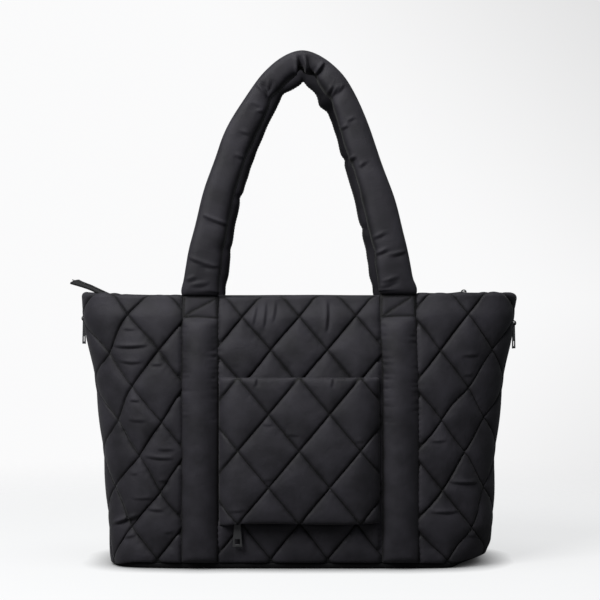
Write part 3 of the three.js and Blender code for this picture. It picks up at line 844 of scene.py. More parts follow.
def hem_wave(x, z):
    """How far the hem hangs below its level: most at its left end."""
    hangs = 2.2 * fall(x, -76, -60) + 0.5 * np.sin(x / 23)
    return -hangs * fall(z, POCKET_LOW, POCKET_LOW + 30)


low, high = (-POCKET_HALF, POCKET_LOW), (POCKET_HALF, POCKET_HIGH)
sheet, border = as_sheet(bias_sheet(POCKET_QUILT, 6, CUTS, low, high, POCKET_CENTRE))
shape = (sheet, POCKET_QUILT, POCKET_CENTRE, border, np.ones(len(border)))
fine, flat, points, seam = quilted(*shape, POCKET_SEED, POCKET_SLACK, low, high)
flat, points, seam = finer(fine, near_creases(flat[:, :2], POCKET_CREASES), flat, points, seam)
points[:, 2] += CREASE_DEEP * crease_push(flat, POCKET_CREASES) * smooth_step(points[:, 2], 0.3, 3)
u, v, w = points.T
u, v = np.clip(u, low[0], high[0]), np.clip(v, low[1], high[1])
outer = wall_points(u, v, pocket_back(u, v) + SEAM + 0.8 * np.clip(w, 0, None))
inner = wall_points(flat[:, 0], flat[:, 1], pocket_back(flat[:, 0], flat[:, 1]))
for points in (outer, inner):
    points[:, 2] += hem_wave(points[:, 0], points[:, 2])
front_pocket = close_shell("quilted_pocket", fine, flat, outer, inner, seam)
hand_in(front_pocket, "front_pocket")

# %% [markdown]
# ## The bands
# A band is a tube of cloth over padding, sewn down along both edges from the base to the rim. At the top
# it is pressed flat by a box of stitches with one slanting row. Its cloth is cut wide, so it puckers
# along its edges.

# %% Bands
BAND_PADDED = 8.5
BOX_LOW, BOX_HIGH = 257.5, 279.0
BOX_SEWN = 16.5  # the box's side stitches, from the middle
BOX_FLAT, BOX_PUFF = 1.5, 0.9
BAND_LOW, BAND_HIGH = WALL_LOW, RIM
BAND_GRID = (14, 100)
BAND_TICKS = 22  # small puckers along each edge
BAND_LEAN = 2.4  # how far the front's right band leans aside below its box


def box_distance(u, v):
    """The way from a place in the stitched box to its nearest row of stitches."""
    rise = (BOX_HIGH - BOX_LOW) / (2 * BOX_SEWN)
    slant = np.abs((v - BOX_LOW) - rise * (u + BOX_SEWN)) / math.hypot(1, rise)
    ends = np.minimum(np.abs(v - BOX_LOW), np.abs(BOX_HIGH - v))
    return np.minimum(np.minimum(slant, ends), np.abs(BOX_SEWN - np.abs(u)))


def edge_ticks(u, v, rng):
    """Small puckers where the edge stitches draw the cloth in."""
    push = np.zeros(len(u))
    for side in (-1, 1):
        for at, deep in zip(rng.uniform(150, BOX_LOW, BAND_TICKS), rng.uniform(0.5, 2.0, BAND_TICKS)):
            push -= deep * np.exp(-(((v - at) / 1.3) ** 2) - (BAND_HALF - side * u) / 4)
    return push


def band_middle(middle, z, rear):
    """Where a band's middle is at some heights."""
    leans = BAND_LEAN if middle > 0 and not rear else 0
    return middle + leans * fall(z, 190, BOX_LOW)


def band(name, middle, rear, seed):
    bm = bmesh.new()
    bmesh.ops.create_grid(bm, x_segments=BAND_GRID[0], y_segments=BAND_GRID[1], size=0.5)
    bmesh.ops.scale(bm, vec=(2 * BAND_HALF, BAND_HIGH - BAND_LOW, 1), verts=bm.verts)
    bmesh.ops.translate(bm, vec=(0, (BAND_LOW + BAND_HIGH) / 2, 0), verts=bm.verts)
    sheet, border = as_sheet(bm)
    flat = coordinates(sheet)
    u, v = flat[:, 0], flat[:, 1]
    rng = np.random.default_rng(seed)
    lumps = sum(np.sin(v / step + turn) for step, turn in zip((31, 17, 9), rng.uniform(0, 6, 3)))
    fill = np.where(border, 0, 1 + 0.03 * lumps).clip(0, None)
    start = np.sqrt(np.clip(1 - (u / BAND_HALF) ** 2, 0, 1)) * ~border
    drawn, cut = flat.copy(), flat.copy()
    drawn[:, 2] = BAND_PADDED * start
    cut[:, 2] = (3 + 0.2 * lumps) * start
    cut[:, :2] *= (1.1, 1.0)
    points = inflate(sheet, border, fill, cut, drawn, pressure=6.0, bending=0.06)
    fine, flat, points = refined(sheet, points, border)
    u, v = flat[:, 0], flat[:, 1]
    tube = np.clip(points[:, 2], 0, 10) + edge_ticks(u, v, rng)
    tube *= 1 - np.exp(-np.clip(BOX_LOW - v, 0, None) / 4)
    sides = 1 - np.exp(-(BAND_HALF - np.abs(u)) / 1.2)
    box = sides * (BOX_FLAT + BOX_PUFF * (1 - np.exp(-box_distance(u, v) / 2)))
    w = np.clip(np.where(v > BOX_LOW, box, np.maximum(tube, sides * BOX_FLAT)), 0, None)
    x, z = points[:, 0].clip(-BAND_HALF, BAND_HALF), points[:, 1].clip(BAND_LOW, BAND_HIGH)
    foot = fall(v, BAND_LOW + 4, BAND_LOW + 26)
    plain = BAND_PADDED * np.sqrt(1 - np.clip(u / BAND_HALF, -1, 1) ** 2)
    plain *= 1 - np.exp(-(v - BAND_LOW) / 2)
    w, x, z = w + foot * (plain - w), x + foot * (u - x), z + foot * (v - z)
    outer = wall_points(band_middle(middle, z, rear) + x, z, SEAM + GAP + 0.4 + w, rear)
    inner = wall_points(band_middle(middle, v, rear) + u, v, SEAM + GAP, rear)
    # painted shade in the grooves along the band's sewn edges and its box of stitches
    seam = np.exp(-(BAND_HALF - np.abs(u)) / SEAM_SHADE_REACH)
    seam = np.maximum(seam, np.where(v > BOX_LOW - 1, np.exp(-box_distance(u, v) / 0.9), 0))
    return close_shell(name, fine, flat, standing(outer, rear), standing(inner, rear), seam)


HALVES = (("front", False), ("rear", True))
HANDS = (("left", -1), ("right", 1))
for half, rear in HALVES:
    for hand, side in HANDS:
        middle = side * BAND_X * (-1 if rear else 1)
        piece = band(f"band_{half}_{hand}", middle, rear, 31 + 2 * rear + (side > 0))
        hand_in(piece, f"{half}_band_{hand}")

# %% [markdown]
# ## The handles
# A handle is a strip of cloth rolled round padding and sewn along its inner edge. So it starts as a flat
# grid, is rolled along the handle's line, and its two edges are merged. Bent padding has too much cloth
# on the inside of the bend: it folds there, and these folds run up the front of the arch.

# %% Sizes of the handles
HANDLE_FOOT = RIM + 0.6
HANDLE_APEX_Y = -27.0
HANDLE_LEAN = -4.0
HANDLE_GRID = (72, 480)  # round and along
HANDLE_GIRTH = math.pi * 28  # width of the flat strip
REAR_NARROW = 0.965
REAR_LOWER = 0.98  # the rear handle has sunk a little
# height, x, width and depth of one leg
HANDLE_LEG = (
    (HANDLE_FOOT, 101.5, 37, 9),
    (285, 101.6, 40.5, 15),
    (292, 100.6, 38.5, 18),
    (305, 99, 36, 21),
    (333, 94, 34.5, 26),
    (383, 82, 33, 28),
    (432, 66, 31.5, 27),
    (469, 51, 28.5, 26),
    (496.5, 36, 26, 26),
    (512, 23, 25, 26),
    (521, 11, 25, 26),
    (524.5, 0, 25, 26),
)
# folds on the outer face of each handle: from x and height to x and height, and depth
FRONT_HANDLE_CREASES = (
    (-3.5, 502, -4, 531, 4.6),
    (6.5, 500, 5, 531, 4.2),
    (11, 505, 25, 522, 3.4),
    (27, 486, 34, 497, 2.1),
    (29, 483, 41, 498, 1.7),
    (36, 487, 46, 498, 1.3),
    (-33, 487, -45, 503, 3.3),
    (-33, 491, -31, 505, 1.4),
    (-46, 470, -38, 468, 1.0),
    (-52, 479, -42, 473, 0.9),
    (-61, 449, -51, 444, 1.2),
    (-65, 424, -56, 419, 1.2),
    (50, 459, 58, 462, 1.0),
    (42, 450, 52, 454, 1.4),
    (52, 417, 61, 422, 2.0),
    (65, 410, 72, 418, 1.2),
    (-100, 361, -73, 350, 2.4),
    (-103, 310, -82, 307, 1.7),
    (-115, 317, -90, 309, 1.2),
    (-117, 293, -104, 297, 1.3),
    (-114, 289, -91, 291, 1.6),
    (77, 336, 92, 343, 1.4),
    (77, 319, 94, 326, 2.0),
    (96, 319, 112, 323, 1.7),
    (86, 291, 105, 298, 1.7),
    (84, 286, 102, 294, 1.6),
)
REAR_HANDLE_CREASES = (
    (-2, 507, 1, 532, 3.0),
    (-16, 504, -12, 531, 2.6),
    (31, 487, 40, 500, 2.2),
    (-62, 448, -51, 443, 1.4),
    (58, 434, 69, 440, 1.5),
    (-97, 352, -73, 346, 2.0),
    (79, 326, 97, 331, 1.8),
    (-113, 300, -93, 295, 1.4),
)
# pinches inside the bend: the share of the way along, the depth (below zero it swells) and half length
FRONT_PINCHES = (
    (0.085, 1.6, 0.012),
    (0.4, 3.5, 0.016),
    (0.492, 4.5, 0.012),
    (0.535, 4.0, 0.012),
    (0.6, 3.0, 0.014),
    (0.915, 1.6, 0.012),
)
REAR_PINCHES = (
    (0.144, 1.5, 0.008),
    (0.29, 2.2, 0.008),
    (0.398, 1.2, 0.01),
    (0.42, -4.0, 0.016),
    (0.495, 3.0, 0.012),
    (0.56, 3.2, 0.014),
    (0.583, 0.6, 0.01),
    (0.79, 2.0, 0.009),
    (0.9, 1.2, 0.01),
)
TUBE_SQUARE = 0.66  # below 1 the tube is flatter in front than an ellipse
FOOT_SUNK = 1.2  # how far a foot is sewn into the rim
APEX_ASIDE = 3.2  # how far the top of the arch leans to the right
LEGS_ASIDE = -1.7  # and its legs to the left
print("handle from foot to foot:", 2 * HANDLE_LEG[0][1], "mm")


# %% Roll a strip of cloth
def laid_grid(points, cloth_size, seam=None):
    """A grid at points[along, across], in millimetres. cloth_size is its flat size, for its cloth UV."""
    along, across = points.shape[0] - 1, points.shape[1] - 1
    bm = bmesh.new()
    bmesh.ops.create_grid(bm, x_segments=across, y_segments=along, size=0.5)
    cloth_uv = bm.loops.layers.uv.new("cloth")
    # painted shade along sewn lines, for the cloth finish
    sewn = None if seam is None else bm.verts.layers.float.new("seam")
    for face in bm.faces:
        face.smooth = True
        for loop in face.loops:
            loop[cloth_uv].uv = (loop.vert.co.x * cloth_size[0] * MM, loop.vert.co.y * cloth_size[1] * MM)
    for vert in bm.verts:
        place = (round((vert.co.y + 0.5) * along), round((vert.co.x + 0.5) * across))
        if seam is not None:
            vert[sewn] = seam[place]
        vert.co = Vector(points[place]) * MM
    return bm


def rolled_strip(name, rings, seam, cloth_size):
    """A tube from a flat grid: rings[along, round] gives its points, and its long edges are merged."""
    bm = laid_grid(rings, cloth_size, seam)
    bmesh.ops.remove_doubles(bm, verts=bm.verts, dist=1e-6)
    ends = [edge for edge in bm.edges if edge.is_boundary]
    bmesh.ops.holes_fill(bm, edges=ends, sides=0)
    bmesh.ops.recalc_face_normals(bm, faces=bm.faces)
    return new_piece(name, bm)


def unit(vectors):
    return vectors / np.linalg.norm(vectors, axis=-1, keepdims=True)


# %% Line of a handle
def handle_line(narrow, lower):
    """The stations of a whole handle with the way along it: way, x, height, width, depth."""
    leg = np.array(HANDLE_LEG, float)
    leg[1:, 1] *= narrow
    leg[:3, 2] *= narrow**4
    leg[:, 0] = HANDLE_FOOT + (leg[:, 0] - HANDLE_FOOT) * lower
    left = leg * (1, -1, 1, 1)
    whole = np.vstack([left, leg[-2::-1]])
    steps = np.hypot(np.diff(whole[:, 0]), np.diff(whole[:, 1]))
    way = np.concatenate([[0], np.cumsum(steps)])
    table = np.column_stack([way, whole[:, 1], whole[:, 0], whole[:, 2:]])
    return smooth_rows(table, np.linspace(0, way[-1], HANDLE_GRID[1] + 1))


def tube_frame(x, z):
    """The middle of a handle at its stations, and the ways to its front and to its outer side."""
    foot_y = wall_points([BAND_X], [RIM], [0])[0, 1] + HANDLE_LEAN
    lean = (HANDLE_APEX_Y - foot_y) / (HANDLE_LEG[-1][0] - HANDLE_FOOT)
    middle = np.stack([x, foot_y + lean * (z - HANDLE_FOOT), z], axis=1)
    tangent = unit(np.gradient(middle, axis=0))
    tangent[0], tangent[-1] = (0, 0, 1), (0, 0, -1)
    front = unit(np.array((0, -1, lean)))
    return middle, front, unit(np.cross(front, tangent))


def lean_aside(x, z, rear):
    """How far a handle has leant to the right, as the front sees it."""
    on_left = (x > 0) if rear else (x < 0)
    legs = hump(z, np.where(on_left, 330, 281), np.where(on_left, 400, 300), 430, 480)
    return APEX_ASIDE * smooth_step(z, 430, 522) + LEGS_ASIDE * legs


# %% Folds of a handle
def tube_push(way, angle, across, forth, flat, creases, pinches, turns):
    """How far the tube is pushed out or in: lumps of padding, folds in front, pinches inside the bend."""
    lumps = 0.7 * np.sin(way / 23 + turns[0]) + 0.4 * np.sin(way / 11 + turns[1])
    push = lumps[:, None] * (0.6 + 0.4 * np.sin(2 * angle + turns[2]))
    in_front = smooth_step(forth, -0.45, 0.35)
    push = push + crease_push(flat, creases).reshape(push.shape) * in_front
    inside = np.clip(-across, 0, None)
    share = way / way[-1]
    for at, deep, half in pinches:
        push = push - deep * np.exp(-(((share - at) / half) ** 2))[:, None] * inside
    return push


def seam_pull(way, from_seam, turns):
    """How far the gathered seam draws the cloth in."""
    gather = 0.5 + 0.5 * np.sin(way / 4.3 + 2.5 * np.sin(way / 29 + turns[3]))
    return (0.4 + 0.4 * gather)[:, None] * np.exp(-from_seam / 2.2)


# %% Handles
def handle(name, rear, creases, pinches, seed):
    """A padded handle, and its rings of points in millimetres."""
    way, x, z, width, depth = handle_line(*((REAR_NARROW, REAR_LOWER) if rear else (1, 1))).T
    middle, front, outward = tube_frame(x, z)
    angle = math.pi + np.linspace(0, 2 * math.pi, HANDLE_GRID[0] + 1)
    across, forth = (np.sign(part) * np.abs(part) ** TUBE_SQUARE for part in (np.cos(angle), np.sin(angle)))
    side = outward[:, None] * (across * width[:, None] / 2)[..., None]
    ahead = front * (forth * depth[:, None] / 2)[..., None]
    radial = side + ahead
    surface = middle[:, None] + radial
    turns = np.random.default_rng(seed).uniform(0, 6, 6)
    flat = surface[..., (0, 2)].reshape(-1, 2)
    push = tube_push(way, angle, across, forth, flat, creases, pinches, turns)
    from_seam = (1 + across) * width[:, None] / 2
    push = push - seam_pull(way, from_seam, turns)
    calm = smooth_step(z, HANDLE_FOOT, HANDLE_FOOT + 7)
    surface = surface + unit(radial) * (push * calm[:, None])[..., None]
    surface[:, -1] = surface[:, 0]
    foot_lift = rim_wave(np.sign(-x if rear else x) * BAND_X, np.full(x.shape, RIM)) - FOOT_SUNK
    surface[..., 2] += (foot_lift * fall(z, HANDLE_FOOT, HANDLE_FOOT + 14))[:, None]
    surface[..., 0] += ((-1 if rear else 1) * lean_aside(x, z, rear))[:, None]
    # painted shade along the sewn inner edge
    seam = np.exp(-from_seam / 1.2)
    placed = standing(surface.reshape(-1, 3), rear).reshape(surface.shape)
    return rolled_strip(name, placed, seam, (HANDLE_GIRTH, way[-1])), placed


front_handle, front_rings = handle("padded_handle_front", False, FRONT_HANDLE_CREASES, FRONT_PINCHES, 41)
rear_handle, rear_rings = handle("padded_handle_rear", True, REAR_HANDLE_CREASES, REAR_PINCHES, 43)
hand_in(front_handle, "front_handle")
hand_in(rear_handle, "rear_handle")

# %% [markdown]
# ## The base
# A plain dark panel whose edge rolls up to the walls. The same rolled grid makes its edge, and the two
# ends of the tube become its upper and lower face.

# %% Base
# height, and how far in from the inner face of the walls
BASE_EDGE = ((0, 1.4), (0.3, 0.2), (1, -0.7), (3, -1.4), (5.5, -1.8), (7.2, -1.9), (8, -1.5))
BASE_POINTS = 240
BASE_CLOTH = (1100, 14)  # flat size of the edge
BASE_TUCK = (-20, 18, 0)  # at the front's right corner the foot of the base has drawn in under the walls


def round_the_bag(z, out):
    """Points all the way round the bag at one height, anticlockwise from the right side."""
    girth = half_girth(z)[0]
    u = np.linspace(girth, -girth, BASE_POINTS // 2 + 1)
    front = wall_points(u, np.full(u.shape, z), np.full(u.shape, out))
    return np.vstack([front, front[1:] * (-1, -1, 1)])


rows = [round_the_bag(BASE_TOP, -inset) * (1, 1, 0) + (0, 0, z) for z, inset in BASE_EDGE]
rings = np.array([standing(row) for row in rows])
corner = smooth_step(rings[..., 0], 150, 192) * fall(rings[..., 1], -30, 30)
foot = np.array([1 - z / BASE_TOP for z, inset in BASE_EDGE])
rings = rings + (foot[:, None] * corner)[..., None] * BASE_TUCK
base_panel = rolled_strip("base", rings, np.zeros(rings.shape[:2]), BASE_CLOTH)
hand_in(base_panel, "base_panel")

# %% [markdown]
# ## The zipped top
# Two strips of cloth close the top, with a zip between them. Its end runs on past the strips as a free
# tail, which stands up at the left. A coil zip has two rows of close loops, made here of small long beads
# across the tape.

# %% Strips of cloth
ZIP_END = 188.0
ZIP_HALF = 7.0
ZIP_TOP = 277.0
TAPE = 1.6
PANEL_DROP = 5.0


def strip(name, points, thick):
    """A thin piece from a grid of points[along, across], given its thickness downwards from its face."""
    along, across = points.shape[0] - 1, points.shape[1] - 1
    length = np.linalg.norm(points[-1, across // 2] - points[0, across // 2])
    width = np.linalg.norm(points[along // 2, -1] - points[along // 2, 0])
    bm = laid_grid(points, (width, length))
    bmesh.ops.recalc_face_normals(bm, faces=bm.faces)
    bmesh.ops.solidify(bm, geom=bm.faces[:], thickness=thick * MM)
    bmesh.ops.recalc_face_normals(bm, faces=bm.faces)
    return new_piece(name, bm)


def top_panel(rear):
    x = np.linspace(-ZIP_END, ZIP_END, 95)
    plan_x, plan_y = (values[0] for values in wall_plan(np.array([RIM - PANEL_DROP]))[:2])
    wall_y = np.interp(np.abs(x), plan_x, plan_y) + 0.9
    share = np.linspace(0, 1, 15)
    y = wall_y[:, None] + share * (-ZIP_HALF - GAP - wall_y[:, None])
    sag = 0.7 * np.sin(x / 27 + 1)[:, None] * np.sin(math.pi * share)
    crown = np.sin(share * math.pi / 2) * (ZIP_TOP + PANEL_DROP + TAPE - RIM)
    z = RIM - PANEL_DROP + crown + sag
    points = np.stack([np.broadcast_to(x[:, None], y.shape), y, np.broadcast_to(z, y.shape)], axis=2)
    placed = points * ((-1, -1, 1) if rear else 1)
    return strip("top_panel_rear" if rear else "top_panel_front", placed, TAPE)


for half, rear in HALVES:
    piece = top_panel(rear)
    hand_in(piece, f"{half}_top_panel")


# %% Beads and stitches
BEADS_AT_ONCE = 200  # adding to a large bmesh is slow, so a few beads at a time are made on their own


def take_in(bm, other):
    """Add a second bmesh to the first."""
    mesh = bpy.data.meshes.new("taken_in")
    other.to_mesh(mesh)
    other.free()
    bm.from_mesh(mesh)
    bpy.data.meshes.remove(mesh)


def beads(name, pairs, thick):
    """Small long beads, each from one point to another, in millimetres."""
    bm = bmesh.new()
    for n in range(0, len(pairs), BEADS_AT_ONCE):
        few = bmesh.new()
        for start, end in pairs[n : n + BEADS_AT_ONCE]:
            run = Vector(end) - Vector(start)
            turn = run.to_track_quat("Z", "Y").to_matrix().to_4x4()
            size = Matrix.Diagonal((thick, thick, run.length / 2, 1))
            place = Matrix.Translation((Vector(start) + Vector(end)) / 2)
            matrix = Matrix.Scale(MM, 4) @ place @ turn @ size
            bmesh.ops.create_uvsphere(few, u_segments=6, v_segments=4, radius=1, matrix=matrix)
        take_in(bm, few)
    for face in bm.faces:
        face.smooth = True
    return new_piece(name, bm)


def along_line(line, ways):
    """Points at some ways along a line of points."""
    steps = np.linalg.norm(np.diff(line, axis=0), axis=1)
    way = np.concatenate([[0], np.cumsum(steps)])
    return np.stack([np.interp(ways, way, line[:, axis]) for axis in range(3)], axis=1), way[-1]


def stitches(lines, pitch, length):
    """The pairs of ends of the stitches along lines of points."""
    pairs = []
    for line in lines:
        whole = along_line(line, [0])[1]
        middles = np.arange(pitch / 2, whole, pitch)
        starts, ends = (along_line(line, middles + shift)[0] for shift in (-length / 2, length / 2))
        pairs += list(zip(starts, ends))
    return pairs


# %% Zips
COIL_PITCH = 1.5
COIL_THICK = 0.62
COIL_REACH = 2.4  # from the middle of the zip
COIL_RISE = 0.35  # above the tape
COIL_SLIT = 0.1


def coil_on(name, line, across):
    """Two rows of loops along a zip's line. across is the direction over the tape."""
    whole = along_line(line, [0])[1]
    ways = np.arange(COIL_PITCH / 2, whole, COIL_PITCH)
    over = np.asarray(across, float)
    pairs = []
    for row, shift in ((-1, 0.0), (1, COIL_PITCH / 2)):
        middles = along_line(line, ways + shift)[0]
        pairs += list(zip(middles + over * (row * COIL_SLIT), middles + over * (row * COIL_REACH)))
    hand_in_trim(beads(name, pairs, COIL_THICK))


def zip_strip(name, line, across, out, half, thick, node, coil_name):
    """A zip: its tape, and its coil on top."""
    across, out = np.asarray(across, float), np.asarray(out, float)
    share = np.linspace(-1, 1, 9)
    face = line + out * thick
    points = face[:, None] + share[None, :, None] * half * across
    hand_in(strip(name, points, thick), node)
    coil_on(coil_name, face + out * COIL_RISE, across)


SIDE_TAPE = (SIDE_ZIP_HALF + 0.8, SEAM - 0.3)  # half width and thickness: its edges go into the walls
top_line = np.stack([np.linspace(-ZIP_END, ZIP_END, 60), np.zeros(60), np.full(60, ZIP_TOP)], axis=1)
zip_strip("zip_top", top_line, (0, 1, 0), (0, 0, 1), ZIP_HALF, TAPE, "top_zip", "coil_top")
for hand, side in HANDS:
    z = np.linspace(WALL_LOW, RIM - 3, 70)
    line = standing(wall_points(side * half_girth(z), z, np.zeros(70)))
    names = (f"side_zip_{hand}", f"coil_{hand}")
    zip_strip(f"zip_{hand}", line, (0, 1, 0), (side, 0, 0), *SIDE_TAPE, *names)

# %% Tail of the top zip
TAIL_LINE = ((-189.2, 277), (-202, 279), (-213, 283.8), (-224, 288.8), (-242, 294.6))
TAIL_HALF = 13.0
TAIL_THICK = 2.0
TAIL_CURL = 0.8  # its edges curl down
TAIL_ROLL = 0.12  # its far edge stands higher
TAIL_SLANT = 3.0  # and its end is cut on a slant
TAIL_STEPS = 40
tail_ways = np.linspace(-TAIL_LINE[0][0], -TAIL_LINE[-1][0], TAIL_STEPS)
tail = smooth_rows([(-x, z) for x, z in TAIL_LINE], tail_ways)
tail_line = np.stack([-tail[:, 0], np.zeros(TAIL_STEPS), tail[:, 1]], axis=1)
run = unit(np.gradient(tail_line, axis=0))
tail_up = unit(np.cross(run, (0, -1, 0)))
tail_up *= np.sign(tail_up[:, 2:3])
share = np.linspace(-1, 1, 17)
to_end = np.linspace(0, 1, TAIL_STEPS)[:, None]
curl = TAIL_CURL * np.abs(share) ** 2
tail_face = tail_line + tail_up * TAPE
tail_points = tail_face[:, None] + share[None, :, None] * TAIL_HALF * np.array((0, 1, 0))
tail_points = tail_points - curl[None, :, None] * tail_up[:, None] * to_end[..., None]
tail_points[..., 2] += TAIL_ROLL * tail_points[..., 1] * smooth_step(-tail_points[..., 0], 190, 205)
tail_points[..., 0] += TAIL_SLANT * (1 + share) * to_end**5
hand_in(strip("zip_tail", tail_points, TAIL_THICK), "top_zip_tail")
coil_on("coil_tail", tail_face + tail_up * COIL_RISE, (0, 1, 0))

# %% Zip of the pocket
POCKET_ZIP_TOP, POCKET_ZIP_HALF, POCKET_ZIP_THICK = 56.9, 77.5, 1.8
u = np.linspace(-POCKET_ZIP_HALF, POCKET_ZIP_HALF, 60)
level = np.full(60, POCKET_ZIP_TOP)
near = wall_points(u, level, pocket_back(u, level) - 2 * GAP)
far = wall_points(u, level, SEAM + 1.3)
share = np.linspace(0, 1, 7)[None, :, None]
points = near[:, None] * (1 - share) + far[:, None] * share
pocket_zip = strip("zip_pocket", points, POCKET_ZIP_THICK)
hand_in(pocket_zip, "pocket_zip")

# %% [markdown]
# ## Sliders and pulls
# A pull is a flat tapered plate with an eye at the top and a square window at the foot. It is cut from a
# grid of three by five faces: two faces are taken out, the rest is given its thickness, and its sharp
# edges are bevelled. A slider is a tapered block with half a ring that the pull hangs from.

# %% Pulls
# height of each row of the pull's grid, half width of the plate and of its opening there
PULL_ROWS = (
    (0.9, 3.1, 1.3),
    (-0.95, 3.2, 1.3),
    (-4.5, 3.4, 1.3),
    (-19.2, 4.4, 2.7),
    (-24.6, 4.75, 2.7),
    (-27, 4.9, 2.7),
)
PULL_THICK = 1.2
PULL_BEVEL = {"offset": 0.28, "segments": 2, "profile": 0.5, "affect": "EDGES", "material": -1}
joint_place = {joint["name"]: Vector(joint["pos_m"]) for joint in frame["record"]["behaviour"]["joints"]}


def sharp_edges(bm):
    return [edge for edge in bm.edges if len(edge.link_faces) == 2 and edge.calc_face_angle() > 0.5]


def pull(bm):
    """A pull that hangs from the origin, in millimetres."""
    bmesh.ops.create_grid(bm, x_segments=3, y_segments=5, size=0.5)
    openings = [face for face in bm.faces if abs(face.calc_center_median().x) < 0.1]
    openings.sort(key=lambda face: face.calc_center_median().y)
    for vert in bm.verts:
        height, half, hole = PULL_ROWS[round((0.5 - vert.co.y) * 5)]
        x = half if abs(vert.co.x) > 0.4 else hole
        vert.co = (math.copysign(x, vert.co.x), PULL_THICK / 2, height)
    bmesh.ops.delete(bm, geom=[openings[1], openings[3]], context="FACES_ONLY")
    bmesh.ops.translate(bm, vec=(0, -PULL_THICK, 0), verts=doubled(bm))
    bmesh.ops.recalc_face_normals(bm, faces=bm.faces)
    bmesh.ops.bevel(bm, geom=sharp_edges(bm), **PULL_BEVEL)


def placed_piece(name, bm, matrix):
    for face in bm.faces:
        face.smooth = False
    bmesh.ops.transform(bm, matrix=matrix @ Matrix.Scale(MM, 4), verts=bm.verts)
    return new_piece(name, bm)


TWIST = math.radians(24)
SIDE_TURN = {"left": -(math.pi / 2 - TWIST), "right": math.pi / 2 - TWIST}
pull_place = {"pocket_pull": Matrix.Translation(joint_place["pocket_pull_swing"])}
for hand, turn in SIDE_TURN.items():
    at = joint_place[f"{hand}_pull_swing"]
    pull_place[f"side_pull_{hand}"] = Matrix.Translation(at) @ Matrix.Rotation(turn, 4, "Z")
for node, matrix in pull_place.items():
    bm = bmesh.new()
    pull(bm)
    hand_in(placed_piece(f"metal_{node}", bm, matrix), node, body=node)


# %% Sliders
SLIDER_DEEP, SLIDER_TAPER = 2.6, 0.78
SLIDER_OFF = 1.2  # from the pivot of the pull to the block
SLIDER_BEVEL = {"offset": 0.6, "segments": 3, "profile": 0.5, "affect": "EDGES", "material": -1}
RING_RADIUS, RING_THICK = 2.3, 0.72
RING_FOOT = (0, 1.7, 0)  # the ring's two ends run on into the block
SLIDER_SIZE, POCKET_SLIDER_SIZE = (7, 10), (8, 5.5)  # width and length


def slider(bm, width, length):
    """A slider that faces -Y, with the pivot of its pull at the origin, in millimetres."""
    block = bmesh.ops.create_cube(bm, size=1)["verts"]
    bmesh.ops.scale(bm, vec=(width, SLIDER_DEEP, length), verts=block)
    bmesh.ops.translate(bm, vec=(0, SLIDER_OFF + SLIDER_DEEP / 2, 0), verts=block)
    for vert in block:
        vert.co.x *= 1 if vert.co.z > 0 else SLIDER_TAPER
    bmesh.ops.bevel(bm, geom=bm.edges[:], **SLIDER_BEVEL)
    start = Matrix.Translation((0, 0, RING_RADIUS)) @ Matrix.Rotation(math.pi / 2, 4, "X")
    ring = bmesh.ops.create_circle(bm, segments=10, radius=RING_THICK, matrix=start)["verts"]
    edges = [edge for edge in bm.edges if all(vert in ring for vert in edge.verts)]
    foot = bmesh.ops.extrude_edge_only(bm, edges=edges)["geom"]
    bmesh.ops.translate(bm, vec=RING_FOOT, verts=only(foot, bmesh.types.BMVert))
    arch = bmesh.ops.spin(bm, geom=ring + edges, axis=(1, 0, 0), angle=math.pi, steps=12, cent=(0, 0, 0))
    end = bmesh.ops.extrude_edge_only(bm, edges=only(arch["geom_last"], bmesh.types.BMEdge))["geom"]
    bmesh.ops.translate(bm, vec=RING_FOOT, verts=only(end, bmesh.types.BMVert))
    bmesh.ops.holes_fill(bm, edges=[edge for edge in bm.edges if edge.is_boundary], sides=0)
    bmesh.ops.recalc_face_normals(bm, faces=bm.faces)


face_down = pull_place["pocket_pull"] @ Matrix.Rotation(math.pi / 2, 4, "X")
slider_place = {"pocket_slider": (face_down, POCKET_SLIDER_SIZE)}
for hand in SIDE_TURN:
    slider_place[f"side_slider_{hand}"] = (pull_place[f"side_pull_{hand}"], SLIDER_SIZE)
for node, (matrix, size) in slider_place.items():
    bm = bmesh.new()
    slider(bm, *size)
    hand_in(placed_piece(f"metal_{node}", bm, matrix), node)

# %% Slider of the top zip, with its pull lying along the zip
TOP_SLIDER = (175.0, 0.0, 281.6)
TOP_PULL = (1.1, 0, 2.2)  # where its pull starts
TOP_PULL_DROOP = math.radians(7)
bm = bmesh.new()
slider(bm, *SLIDER_SIZE)
face_up = Matrix(((0, 0, -1, 0), (1, 0, 0, 0), (0, -0.85, 0, 2.1), (0, 0, 0, 1)))
bmesh.ops.transform(bm, matrix=face_up, verts=bm.verts)
lying = bmesh.new()
pull(lying)
turned = Matrix.Rotation(math.pi / 2 - TOP_PULL_DROOP, 4, "Y") @ Matrix.Rotation(math.pi / 2, 4, "Z")
bmesh.ops.transform(lying, matrix=Matrix.Translation(TOP_PULL) @ turned, verts=lying.verts)
take_in(bm, lying)
matrix = Matrix.Translation(Vector(TOP_SLIDER) * MM)
hand_in(placed_piece("metal_top_slider", bm, matrix), "top_zip_slider")

# %% [markdown]
# ## Thread
# Each sewn line gets its row of stitches: small long beads, half sunk in the cloth.


# %% Rows of stitches
THREAD = 0.36
QUILT_STITCH, BAND_STITCH, HANDLE_STITCH = (3.4, 2.6), (3.0, 2.3), (3.2, 2.4)  # pitch and length
THREAD_RISE = 0.25  # above the sewn cloth
ROW_STEP = 1.7  # between the points of a row


def runs(points, keep):
    """The stretches of a line that are kept."""
    edges = np.flatnonzero(np.diff(np.concatenate([[0], keep.astype(int), [0]])))
    return [points[start:end] for start, end in zip(edges[::2], edges[1::2]) if end - start > 3]


